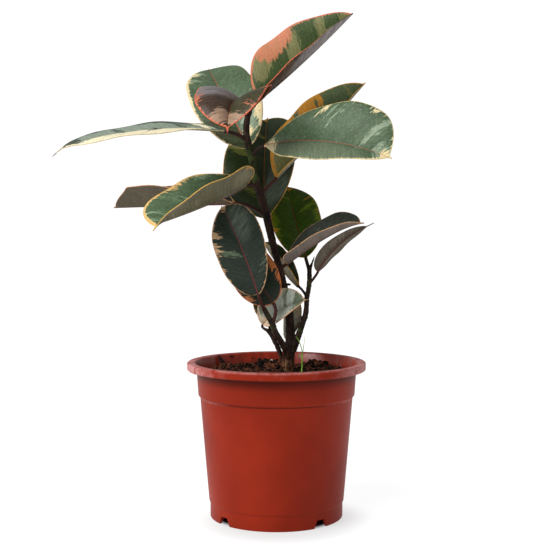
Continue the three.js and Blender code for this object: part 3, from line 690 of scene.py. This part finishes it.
def profile_line(bm, profile):
    """Corners of a profile in millimetres as an open line of edges in metres."""
    corners = [bm.verts.new((radius * MM, 0, height * MM)) for radius, height in profile]
    for start, end in zip(corners, corners[1:]):
        bm.edges.new((start, end))
    return corners


def turn_round(bm, sides):
    """Spins everything in the mesh once about the pot's axis."""
    bmesh.ops.spin(bm, geom=bm.verts[:] + bm.edges[:], cent=(0, 0, 0), axis=(0, 0, 1),
                   angle=math.tau, steps=sides, use_merge=True)
    bmesh.ops.remove_doubles(bm, verts=bm.verts, dist=10 * SAME_PLACE)
    bmesh.ops.recalc_face_normals(bm, faces=bm.faces)


def round_corners(bm, corners, radius, segments):
    bmesh.ops.bevel(bm, geom=corners, offset=radius * MM, offset_type="OFFSET", affect="VERTICES",
                    segments=segments, profile=0.5, material=-1)


def notch_cutter():
    """Four trapezoid wedges through the foot ring, and four drills beside them."""
    bm = bmesh.new()
    for azimuth in NOTCH_AZIMUTHS:
        turn = Matrix.Rotation(math.radians(azimuth), 3, "Z")
        wedge = bmesh.ops.create_cube(bm, size=1)["verts"]
        for vert in wedge:
            top = vert.co.z > 0
            width = NOTCH_TOP_WIDTH if top else NOTCH_BOTTOM_WIDTH
            vert.co = Vector((vert.co.x * width, vert.co.y * NOTCH_DEPTH - FOOT_RADIUS,
                              NOTCH_HEIGHT if top else -1)) * MM
        drill = bmesh.ops.create_cone(bm, cap_ends=True, segments=32, radius1=DRAIN_RADIUS * MM,
                                      radius2=DRAIN_RADIUS * MM, depth=10 * MM)["verts"]
        bmesh.ops.translate(bm, verts=drill, vec=(0, -DRAIN_CIRCLE * MM, CHANNEL_HEIGHT * MM))
        bmesh.ops.rotate(bm, verts=wedge + drill, cent=(0, 0, 0), matrix=turn)
    return put("notch_cutter", finished_mesh("notch_cutter", bm))


def pot_plastic():
    """Brick-red moulded plastic, scuffed and chalky along the rim's sides and the ledges, partly as
    painted sheen, with painted shade under the rim and a painted shadow line under the upper ledge.
    """
    finish = Finish("pot_plastic")
    height = finish.axis("Z")
    sideways = abs(finish.axis("X"))
    cloud = finish.noise(16, 3, 0.55)
    blotch = finish.noise(120, 4, 0.7)
    scuffs = finish.noise(300, 4, 0.7, (1, 1, 0.25)).smooth(0.66, 0.78)
    rim = height.smooth(*RIM_STARTS)
    # Chalky wear on the rim's sides, the lip and the ledges' sides that also paints sheen: pale marks
    # where light glances off these edges
    worn_and_sheen = rim * sideways.smooth(45, 83) * blotch.smooth(0.3, 0.6)
    worn_and_sheen = worn_and_sheen * 0.8 + rim * blotch.smooth(0.5, 0.8) * 0.1
    lip = height.smooth(*LIP_STARTS) * blotch.smooth(0.3, 0.6)
    from_crease = abs(height - CREASE_HEIGHT)
    ledge = (1 - from_crease.smooth(0.4, 1.6)) * sideways.smooth(40, 70) * blotch.smooth(0.4, 0.6)
    chalk_and_sheen = finish.most(worn_and_sheen, lip * 0.4, ledge * 0.35)
    tint = finish.paint(
        (140, 37, 15),
        (cloud.smooth(0.3, 0.7), (126, 32, 13)),
        (scuffs * 0.12, (176, 92, 72)),
        (chalk_and_sheen, (196, 142, 140)),
    )
    # Painted shadow: a dark line just under the upper ledge, at the front and back, standing in for the
    # ledge's shadow
    painted_ledge_shadow = (1 - from_crease.smooth(0.3, 1)) * (1 - sideways.smooth(30, 70))
    tint = finish.shade(painted_ledge_shadow, tint, 0.5)
    # Painted shade under the rim: the body darkens towards the rim's underside, standing in for the
    # shadow of its overhang
    painted_rim_shade = height.smooth(*PAINTED_SHADE_UNDER_RIM) * (1 - rim)
    tint = finish.shade(painted_rim_shade, tint, 0.35)
    grain = finish.noise(900, 2, 0.6)
    normal = finish.bump(grain, 0.00006, 0.6, under=finish.bump(cloud, 0.0008, 0.25))
    return finish.surface(tint, 0.4 + cloud * 0.16 + chalk_and_sheen * 0.2, normal, 0.08)


def pot_inside():
    """The same plastic on the inner wall: duller, streaked, dirty just above the soil, and with
    painted highlights in pale streaks at its left and right sides.
    """
    finish = Finish("pot_inside")
    cloud = finish.noise(40, 3, 0.6)
    streaks = finish.noise(170, 3, 0.6, (1, 1, 0.15))
    # Painted highlights: pale streaks on the left and right of the inner wall, standing in for gloss
    pale = abs(finish.axis("X")).smooth(52, 66) * streaks.smooth(0.46, 0.62)
    dirt = 1 - (finish.axis("Z") + streaks * 12).smooth(*DIRT_ABOVE_SOIL)
    tint = finish.paint(
        (170, 54, 30),
        (streaks.smooth(), (142, 42, 22)),
        (pale * 0.5, (176, 118, 108)),
        (dirt * cloud.smooth() * 0.75, (44, 22, 14)),
    )
    return finish.surface(tint, 0.3 + dirt * 0.3, finish.bump(cloud, 0.0006, 0.3), 0.4)


def build_pot():
    bm = bmesh.new()
    corners = profile_line(bm, pot_profile())
    rim = corners[11:14]
    ledges = corners[6:11]
    foot = corners[4:6]
    round_corners(bm, rim, RIM_ROUNDING, segments=4)
    for ring in (ledges, foot):
        round_corners(bm, ring, LEDGE_ROUNDING, segments=2)
    turn_round(bm, POT_SIDES)
    for face in bm.faces:
        middle = face.calc_center_median()
        if middle.z > LOWER_LEDGE_HEIGHT * MM and face.normal.xy.dot(middle.xy.normalized()) < -0.5:
            face.material_index = 1
    made = piece("pot_shell", bm, [pot_plastic(), pot_inside()], ["pot"])
    cutter = notch_cutter()
    settle(made, "BOOLEAN", object=cutter, operation="DIFFERENCE", solver="EXACT")
    bpy.data.objects.remove(cutter)
    made.data.set_sharp_from_angle(angle=SHARP_ANGLE)


# Leaves
def half_width(leaf, share, half):
    """The width of one half in millimetres: a round base and a drip tip."""
    widest, taper, point = leaf.outline[half]
    along = share / leaf.body
    if along < widest:
        return leaf.halves[half] * (1 - ((widest - along) / widest) ** 2) ** taper
    past = min((along - widest) / (1 - widest), 1)
    drip = DRIP_SHARE * min((1 - share) / (1 - leaf.body), DRIP_START) ** DRIP_CURVE
    return leaf.halves[half] * max((1 - past ** point) ** TIP_CURVE, drip)


def midrib_frame(leaf, share):
    """The midrib's place, its direction, and the ways that the upper face and right half look."""
    bend = 2 * leaf.middle - (leaf.base + leaf.tip) / 2
    rest = 1 - share
    centre = leaf.base * rest**2 + bend * 2 * share * rest + leaf.tip * share**2
    centre.z -= leaf.droop * max((share - DROOP_START) / (1 - DROOP_START), 0) ** 2
    along = ((bend - leaf.base) * rest + (leaf.tip - bend) * share).normalized()
    up = (leaf.face - along * leaf.face.dot(along)).normalized()
    twist = math.radians(leaf.twist) * (share - 0.5)
    up.rotate(Matrix.Rotation(-twist, 3, along))
    return centre, along, up, along.cross(up)


def blade_place(leaf, share, across):
    """A place on the middle of the blade's thickness. Across runs from -1 to 1."""
    centre, _, up, right = midrib_frame(leaf, share)
    side = math.copysign(1, across)
    reach = abs(across)
    half = 0 if side < 0 else 1
    flare = leaf.flare[half] * (2 * share - 1)
    rise = math.radians(leaf.fold[half] + flare + leaf.curl[half] * (reach - CURL_MIDDLE))
    wide = half_width(leaf, share, half)
    width = wide * reach
    wave = WAVE_SHARE * 2 * wide * reach**2
    wave *= math.sin(math.tau * (WAVE_COUNT * share + WAVE_SHIFT * side))
    return centre + right * side * width * math.cos(rise) + up * (width * math.sin(rise) + wave)


def midrib_lengths(leaf, steps=60):
    """How far along the midrib each share of it lies, in millimetres."""
    places = [midrib_frame(leaf, step / steps)[0] for step in range(steps + 1)]
    lengths = [0]
    for start, end in zip(places, places[1:]):
        lengths.append(lengths[-1] + (end - start).length)
    return lengths


def between(values, share):
    """A value from an even row of them, straight between neighbours."""
    at = min(max(share, 0), 1) * (len(values) - 1)
    low = min(int(at), len(values) - 2)
    return values[low] + (values[low + 1] - values[low]) * (at - low)


def patch_depth(patch, along, across, length, leaf):
    """How deep in millimetres a place lies inside a patch that follows the side veins."""
    share, reach, out, wide = patch
    side = math.copysign(1, reach)
    patch_across = abs(reach) * half_width(leaf, share, 0 if side < 0 else 1)
    vein = along - abs(across) * VEIN_LEAN
    patch_vein = share * length - patch_across * VEIN_LEAN
    off = math.hypot((across * side - patch_across) / out, (vein - patch_vein) / wide)
    return min(out, wide) * (1 - off)


def leaf_fields(leaf, share, across, lengths):
    """What the leaf's materials read at a place, in millimetres."""
    length = lengths[-1]
    along = between(lengths, share)
    half = 0 if across < 0 else 1
    wide = half_width(leaf, share, half)
    slope = (half_width(leaf, min(share + EDGE_STEP, 1), half) - wide) / (EDGE_STEP * length)
    edge = wide * (1 - abs(across)) / math.sqrt(1 + slope**2)
    edge = min(edge, along + END_EDGE, (length - along) + END_EDGE)
    across *= wide

    def depth(patches, least):
        return max([least, *(patch_depth(patch, along, across, length, leaf) for patch in patches)])

    dark = depth(leaf.dark, -PATCHLESS)
    return {"along": along, "across": across, "edge": edge,
            "margin": between(leaf.margins[half], share) - edge,
            "cream": min(depth(leaf.cream, -PATCHLESS), -dark),
            "pale": min(depth(leaf.pale, -PATCHLESS), -dark),
            "sheen_and_tone": depth(leaf.sheen_and_tone, 0), "share": share}


def build_blade(bm, leaf):
    """One sheet shaped from a grid, given its thickness and the ridge under its midrib."""
    lengths = midrib_lengths(leaf)
    layers = {name: bm.verts.layers.float.new(name) for name in leaf_fields(leaf, 0, 0, lengths)}
    grid = bmesh.ops.create_grid(bm, x_segments=BLADE_COLUMNS, y_segments=BLADE_ROWS, size=1)
    made = grid["verts"]
    for vert in made:
        even = (vert.co.y + 1) / 2
        crowded = (1 - math.cos(math.pi * even)) / 2
        share = (1 - END_CROWDING) * even + END_CROWDING * crowded
        across = math.copysign(abs(vert.co.x) ** MIDRIB_CROWDING, vert.co.x)
        for name, value in leaf_fields(leaf, share, across, lengths).items():
            vert[layers[name]] = value
        vert.co = blade_place(leaf, share, across) * MM
    bmesh.ops.remove_doubles(bm, verts=made, dist=SAME_PLACE)
    bm.normal_update()
    for vert in bm.verts:
        vert.co += vert.normal * BLADE_THICKNESS / 2 * MM
    shell = bmesh.ops.solidify(bm, geom=bm.faces[:], thickness=BLADE_THICKNESS * MM)["geom"]
    bm.normal_update()
    for part in shell:
        if isinstance(part, bmesh.types.BMFace):
            part.material_index = 1
        elif isinstance(part, bmesh.types.BMVert):
            ridge = RIDGE_DEPTH * (1 - part[layers["share"]]) ** RIDGE_TAPER
            ridge *= math.exp(-(part[layers["across"]] / RIDGE_WIDTH) ** 2)
            part.co += part.normal * ridge * MM


def leaf_petiole(leaf):
    """The stalk's places: from the stem to the blade's base and a little way under it."""
    centre, along, up, _ = midrib_frame(leaf, 0)
    bend = centre - along * (leaf.stalk - centre).length / 2
    thin = PETIOLE_RADIUS * (SMALL_PETIOLE if leaf.halves[0] < SMALL_HALF else 1)
    places = []
    for step in range(PETIOLE_STEPS + 1):
        share = step / PETIOLE_STEPS
        point = leaf.stalk * (1 - share)**2 + bend * 2 * share * (1 - share) + centre * share**2
        swell = 1 + FOOT_SWELL * math.exp(-(share / SWELL_SHARE) ** 2)
        places.append(Vector((*(point - up * PETIOLE_SINK * share), thin * swell)))
    return places


class LeafFinish(Finish):
    """A blade's material, with patterns drawn out along the side veins, other ones on each half."""

    def __init__(self, name, shades, seed):
        super().__init__(name)
        self.shades = shades
        self.seed = seed
        across = self.attribute("across")
        self.reach = abs(across)
        self.right = across > 0
        self.vein = self.attribute("along") - self.reach * VEIN_LEAN
        self.streaks = self.streaked(0.5, 0.07, 40, 3, 0.62) - 0.5
        self.teeth = self.streaked(1.5, 0.28, 23, 2, 0.6) - 0.5
        self.clouds = self.streaked(0.11, 0.04, 17, 2, 0.5)
        self.specks = self.streaked(1, 0.4, 11, 3, 0.68)

    def streaked(self, fine, outward, apart, detail, rough):
        place = self.vector(self.vein * fine, self.reach * outward, self.right * apart + self.seed)
        return self.noise(1, detail, rough, place=place)

    def ragged(self, name):
        """1 inside the patches of an attribute, whose edges have long streaks and short teeth."""
        long, short, soft = PATCH_EDGES[name]
        depth = self.attribute(name) + self.streaks * long + self.teeth * short
        return depth.smooth(-soft, soft)

    def green(self):
        """The blade between its margins: clouded, flecked, patched, and painted with sheen in its sheen
        patches (on leaf_top_back's face, a darker tone).
        """
        shades = self.shades
        dark = shades["dark"]
        flecks = DEEP_FLECKS if dark[1] < DEEP_GREEN else LIGHT_FLECKS
        if "dark_right" in shades:
            dark = self.mix(self.right, dark, shades["dark_right"])
        tint = self.paint(
            self.shade(self.clouds.smooth(), dark, 0.8),
            (self.specks.smooth(0.5, 0.72) * flecks, shades["pale"]),
            (self.ragged("pale") * (0.75 + self.streaks), shades["pale"]),
        )
        if "sheen_and_tone" not in shades:
            return tint
        # Painted sheen: streaky patches of a paler shade that stand in for light reflected off the
        # blade; on leaf_top_back's face the patch is a darker tone
        sheen_and_tone = self.attribute("sheen_and_tone").smooth(0, SHEEN_EDGE) * (0.7 + self.streaks * 2.4)
        return self.mix(sheen_and_tone, tint, shades["sheen_and_tone"])

    def rim(self):
        """1 along a fine, broken line at the edge."""
        edge = self.attribute("edge")
        rim = 1 - (edge + self.streaks * 1.2).smooth()
        rim = rim * (self.attribute("margin") + edge).smooth(-0.6, 0)
        return rim * (0.35 + self.streaks.smooth(-0.16, 0.04) * 0.5)

    def rib(self):
        """1 along the midrib, which thins towards the tip."""
        width = 0.95 - self.attribute("share") * 0.65
        return 1 - self.reach.smooth(width * 0.6, width)


def leaf_finish(name, shades, seed, roughness, ribbing):
    """Jagged patches along the side veins, a clear midrib, a fine rim and faint veins."""
    finish = LeafFinish(name, shades, seed)
    clouds, specks = finish.clouds, finish.specks
    cream = finish.most(finish.ragged("margin"), finish.ragged("cream"))
    light = finish.mix(clouds.smooth(0.3, 0.7) * 0.3, shades["cream"], shades["pale"])
    from_vein = abs(finish.math("FRACT", finish.vein / VEIN_GAP) - 0.5)
    veins = 1 - from_vein.smooth(0.02, 0.09)
    blade = finish.paint(finish.green(), (cream, light), (veins * ribbing, shades["pale"]))
    blade = finish.shade(1 - specks.smooth(0.33, 0.55), blade, 0.68)
    rib = finish.rib()
    blade = finish.paint(blade, (finish.rim(), shades["rim"]), (rib * 0.9, shades["rib"]))
    relief = veins * 0.35 + from_vein.smooth(0, 0.5) * 0.5 - rib * 1.5 + specks * 0.2
    normal = finish.bump(relief, 0.00016, 0.8)
    return finish.surface(blade, roughness + clouds * 0.16 + cream * 0.06, normal, 0.2)


def petiole_finish():
    """A young stalk: brown-red skin with a greenish flush and fine lengthwise lines."""
    finish = Finish("petiole_skin")
    cloud = finish.noise(60)
    speck = finish.noise(700, 3, 0.6)
    base = finish.mix(cloud.smooth(), (64, 32, 26), (44, 30, 24))
    tint = finish.shade(speck.smooth(0.4, 0.7), base, 0.75)
    return finish.surface(tint, 0.45 + cloud * 0.15, finish.bump(speck, 0.0001, 0.5), 0.18)


def build_leaf(leaf, upper, under, petiole_skin):
    bm = bmesh.new()
    build_blade(bm, leaf)
    for face in wrap_tube(bm, leaf_petiole(leaf), 14):
        face.material_index = 2
    piece(leaf.name + "_blade", bm, [upper, under, petiole_skin], [leaf.name])


def build_leaves():
    petiole_skin = petiole_finish()
    unders = {name: leaf_finish("leaf_under_" + name, shades, UNDER_SEED, *UNDER_SKIN)
              for name, shades in UNDERSIDES.items()}
    for number, leaf in enumerate(LEAVES):
        upper = leaf_finish(leaf.name + "_face", leaf.upper, number * SEED_STEP, *FACE_SKIN)
        build_leaf(leaf, upper, unders[leaf.under], petiole_skin)


# The woody stem and the grass seedling
def bark():
    """Dark corky bark low down, and a green young skin towards the top and at the forks, with
    painted highlights on the ridges and painted shade in the furrows.
    """
    finish = Finish("bark")
    height = finish.axis("Z")
    rings = finish.noise(420, 3, 0.6, (0.35, 0.35, 1))
    furrows = finish.noise(620, 3, 0.65, (1, 1, 0.12))
    cloud = finish.noise(55, 3, 0.6)
    foot = 1 - (height + cloud * 8).smooth(*FIBROUS_FOOT_ENDS)
    fibres = finish.mix(furrows.smooth(0.4, 0.6), (72, 44, 28), (138, 96, 66))
    cork = finish.paint(
        (54, 36, 27),
        (cloud.smooth(), (28, 19, 16)),
        (rings.smooth(0.56, 0.72) * 0.4, (98, 74, 60)),
        # Painted highlights: paler ridges between the furrows
        (furrows.smooth(0.54, 0.7) * 0.4, (104, 74, 56)),
        (foot * 0.8, fibres),
    )
    wavy_height = height + cloud * 10
    green = wavy_height.smooth(*YOUNG_SKIN_STARTS) * (1 - wavy_height.smooth(*YOUNG_SKIN_ENDS))
    for spot, reach in YOUNG_SPOTS:
        near = 1 - finish.distance(spot).smooth(reach * 0.4, reach)
        green = finish.most(green, near * 0.55)
    green = green * finish.noise(150, 3, 0.6).smooth(0.34, 0.56)
    skin = finish.mix(cloud.smooth(0.4, 0.6), (78, 102, 42), (50, 66, 30))
    tint = finish.mix(green * (1 - furrows.smooth(0.5, 0.62) * 0.7), cork, skin)
    # Painted shade: darker in the furrows
    tint = finish.shade(1 - furrows.smooth(0.3, 0.5), tint, 0.6)
    normal = finish.bump(rings * 0.5 + furrows * 0.8, 0.0006, 0.8)
    return finish.surface(tint, 0.6 + cloud * 0.2, normal, 0.15)


def build_stem():
    """The routes' tubes grown into one skin, with the knobs and rings of old leaf scars."""
    bm = bmesh.new()
    for route, sides in STEM_TUBES:
        wrap_tube(bm, smooth_route(route), sides)
    made = piece("stem_bark", bm, [bark()], ["woody_stem"])
    settle(made, "REMESH", mode="VOXEL", voxel_size=STEM_GRAIN * MM, use_smooth_shade=True)
    bm = bmesh.new()
    bm.from_mesh(made.data)
    for vert in bm.verts:
        x, y, z = vert.co / MM
        knobs = noise.noise(Vector((x * 0.25, y * 0.25, z * 0.5)))
        rings = noise.noise(Vector((x * 0.1, y * 0.1, z * 1.6)))
        vert.co += vert.normal * (knobs * KNOB_HEIGHT + rings * RING_HEIGHT) * MM
    bm.to_mesh(made.data)
    bm.free()


def grass_finish():
    finish = Finish("grass_blade")
    cloud = finish.noise(300, stretch=(1, 1, 0.3))
    tint = finish.mix(cloud.smooth(), (150, 200, 70), (110, 168, 52))
    return finish.surface(tint, 0.5 + cloud * 0.1, finish.bump(cloud, 0.0001, 0.4))


def build_grass():
    bm = bmesh.new()
    wrap_routes(bm, [GRASS_STALK], 10)
    wrap_routes(bm, GRASS_BLADES, 8)
    piece("grass_shoot", bm, [grass_finish()], ["grass_seedling"])


# The soil
def crumb_height(x, y):
    """Height of the humps, lumps and crumbs of loose potting soil, all in millimetres."""
    height = SOIL_LEVEL
    for hump_x, hump_y, rise, spread in SOIL_HUMPS:
        distance = math.hypot(x - hump_x, y - hump_y) / spread
        height += rise * math.exp(-distance**2)
    lumps = noise.fractal(Vector((x / LUMP_WIDTH, y / LUMP_WIDTH, 0)), 1.0, 2.0, 3)
    crumbs = 1 - noise.cell(Vector((x / CRUMB_WIDTH, y / CRUMB_WIDTH, 3)))
    grain = noise.noise(Vector((x / GRAIN_WIDTH, y / GRAIN_WIDTH, 7)))
    return height + lumps * LUMP_HEIGHT + grain * GRAIN_HEIGHT + crumbs * CRUMB_HEIGHT


def soil_finish():
    """Dark peat with paler crumbs and short fibres in it."""
    finish = Finish("potting_soil")
    lump = finish.noise(190, 4, 0.7)
    grain = finish.noise(900, 3, 0.65)
    fibre = finish.noise(420, 2, 0.6, (1, 3, 2)).smooth(0.64, 0.72)
    tint = finish.mix(lump.smooth(0.47, 0.6), (14, 7, 5), (124, 72, 48))
    tint = finish.mix(fibre * 0.5, tint, (146, 90, 54))
    tint = finish.shade(grain.smooth(), tint, 0.4)
    normal = finish.bump(lump * 0.5 + grain * 0.5, 0.0012, 0.9)
    return finish.surface(tint, 0.85 + lump * 0.1, normal, 0.15)


def speckled(name, light, dark):
    """A matt crumbly stuff of two tints."""
    finish = Finish(name)
    grain = finish.noise(600, 3, 0.6)
    tint = finish.mix(grain.smooth(), light, dark)
    return finish.surface(tint, 0.75 + grain * 0.2, finish.bump(grain, 0.0003, 0.6), 0.2)


def soil_edge():
    """The radius at which the soil's level meets the wall, less the gap."""
    ledge_radius, ledge_height = inner_wall()[0]
    share = (SOIL_LEVEL - ledge_height) / (RIM_BOTTOM - 1 - ledge_height)
    return ledge_radius + (BODY_TOP_RADIUS - WALL - ledge_radius) * share - SOIL_GAP


def build_soil(finish):
    edge = soil_edge()
    wall = [(max(radius - SOIL_GAP, 0), height + (SOIL_GAP if height < LOWER_LEDGE_HEIGHT else 0))
            for radius, height in reversed(inner_wall())]
    surface = [(edge * (1 - ring / SOIL_RINGS), SOIL_LEVEL) for ring in range(SOIL_RINGS + 1)]
    bm = bmesh.new()
    profile_line(bm, wall + surface)
    turn_round(bm, SOIL_SIDES)
    for vert in bm.verts:
        if vert.co.z > (SOIL_LEVEL - 0.01) * MM:
            vert.co.z = crumb_height(vert.co.x / MM, vert.co.y / MM) * MM
    piece("soil_bed", bm, [finish], ["soil"])


def lump_mesh():
    """One rough lump, a millimetre in radius, that is turned and stretched for each copy."""
    bm = bmesh.new()
    bmesh.ops.create_icosphere(bm, subdivisions=1, radius=1)
    for vert in bm.verts:
        vert.co *= MM * (1 + LUMP_DENTS * noise.noise(vert.co * DENT_SCALE))
    return finished_mesh("lump", bm)


def add_lump(bm, lump, chance, spot, stretched=False):
    """One lump at a spot of x, y, z and radius in millimetres, turned at random."""
    *middle, radius = spot
    lean = Vector((chance.random(), chance.random(), chance.random()))
    spin = Matrix.Rotation(chance.uniform(0, math.tau), 4, lean)
    wide = chance.uniform(0.7, 1.4) if stretched else 1
    size = Matrix.Diagonal((radius * wide, radius, radius, 1))
    copy = lump.copy()
    copy.transform(Matrix.Translation(Vector(middle) * MM) @ spin @ size)
    bm.from_mesh(copy)
    bpy.data.meshes.remove(copy)


def build_crumbs(finish):
    """Crumbs strewn over the soil, half sunk, and wet peat that sticks to the wall above it."""
    chance = random.Random(CRUMB_SEED)
    lump = lump_mesh()
    bm = bmesh.new()
    for size, count, spread in CRUMBS:
        for _ in range(count):
            turn = chance.uniform(0, math.tau)
            radius = spread * math.sqrt(chance.random())
            x, y = radius * math.cos(turn), radius * math.sin(turn)
            span = size * chance.uniform(0.5, 1.4)
            spot = (x, y, crumb_height(x, y) + span * 0.3, span)
            add_lump(bm, lump, chance, spot, stretched=True)
    piece("soil_crumbs", bm, [finish])
    bm = bmesh.new()
    for *middle, radius in smooth_route(WALL_CLUMP):
        for _ in range(3):
            shifted = [length + chance.uniform(-0.5, 0.5) * radius for length in middle]
            add_lump(bm, lump, chance, (*shifted, radius * chance.uniform(0.5, 0.9)))
    for spot in WALL_CRUMBS:
        add_lump(bm, lump, chance, spot)
    piece("wall_clump", bm, [speckled("wet_peat", (38, 18, 12), (16, 8, 6))])


def build_litter():
    """Bits of straw and bark, and grains of white perlite, on the soil."""
    chance = random.Random(LITTER_SEED)
    lump = lump_mesh()
    bm = bmesh.new()
    wrap_routes(bm, STRAWS, 8)
    piece("straw_bits", bm, [speckled("straw", (176, 106, 56), (120, 66, 34))])
    bm = bmesh.new()
    for spot in PERLITE:
        add_lump(bm, lump, chance, spot)
    white = speckled("perlite", (245, 240, 232), (206, 200, 192))
    piece("perlite_grains", bm, [white])


# Floor, lights and camera
def pale_floor():
    """White paper that glows a little, apart from where the pot stands and shades it."""
    finish = Finish("pale_floor")
    beyond_shade = finish.distance(SHADE_MIDDLE).smooth(*SHADE_ENDS)
    beyond_pot = finish.distance((0, 0, 0)).smooth(*GLOW_STARTS)
    glow = finish.mix(beyond_pot, grey(0), finish.mix(beyond_shade, grey(SHADE_GLOW), grey(1)))
    rough = 0.88 + finish.noise(40) * 0.04
    return finish.surface((122, 122, 122), rough, shine=0.1, glow=(glow, FLOOR_GLOW))


def build_stage():
    bm = bmesh.new()
    bmesh.ops.create_circle(bm, cap_ends=True, segments=64, radius=FLOOR_RADIUS)
    floor = put("studio_floor", finished_mesh("studio_floor", bm))
    floor.data.materials.append(pale_floor())


def build_light(name, kind, shines, place=(0, 0, 0), **settings):
    light = bpy.data.lights.new(name, kind)
    for setting, value in settings.items():
        setattr(light, setting, value)
    made = put(name, light)
    made.location = place
    made.rotation_mode = "QUATERNION"
    made.rotation_quaternion = shines.to_track_quat("-Z", "Y")


def build_studio():
    world = bpy.data.worlds.new("studio_white")
    world.use_nodes = True
    nodes, links = world.node_tree.nodes, world.node_tree.links
    background = nodes["Background"]
    background.inputs["Color"].default_value = (1, 1, 1, 1)
    seen = nodes.new("ShaderNodeLightPath").outputs["Is Camera Ray"]
    strength = nodes.new("ShaderNodeMapRange")
    strength.inputs["To Min"].default_value = AMBIENT
    strength.inputs["To Max"].default_value = BACKDROP
    links.new(seen, strength.inputs["Value"])
    links.new(strength.outputs["Result"], background.inputs["Strength"])
    scene = bpy.context.scene
    scene.world = world
    scene.view_settings.view_transform = "Standard"
    build_light("window_light", "SUN", -SUN_FROM, energy=SUN_STRENGTH, angle=SUN_SPREAD)
    build_light("left_softbox", "AREA", SOFTBOX_TARGET - SOFTBOX_PLACE, SOFTBOX_PLACE, shape="DISK",
                size=SOFTBOX_SIZE, energy=SOFTBOX_POWER)
    camera = put("camera", bpy.data.cameras.new("camera"))
    camera.location = CAMERA_PLACE
    camera.rotation_euler = (math.pi / 2 - CAMERA_PITCH, 0, 0)
    camera.data.sensor_width = SENSOR_WIDTH
    camera.data.lens = LENS
    scene.camera = camera


build_studio()
build_stage()
build_pot()
potting_soil = soil_finish()
build_soil(potting_soil)
build_crumbs(potting_soil)
build_litter()
build_stem()
build_grass()
build_leaves()
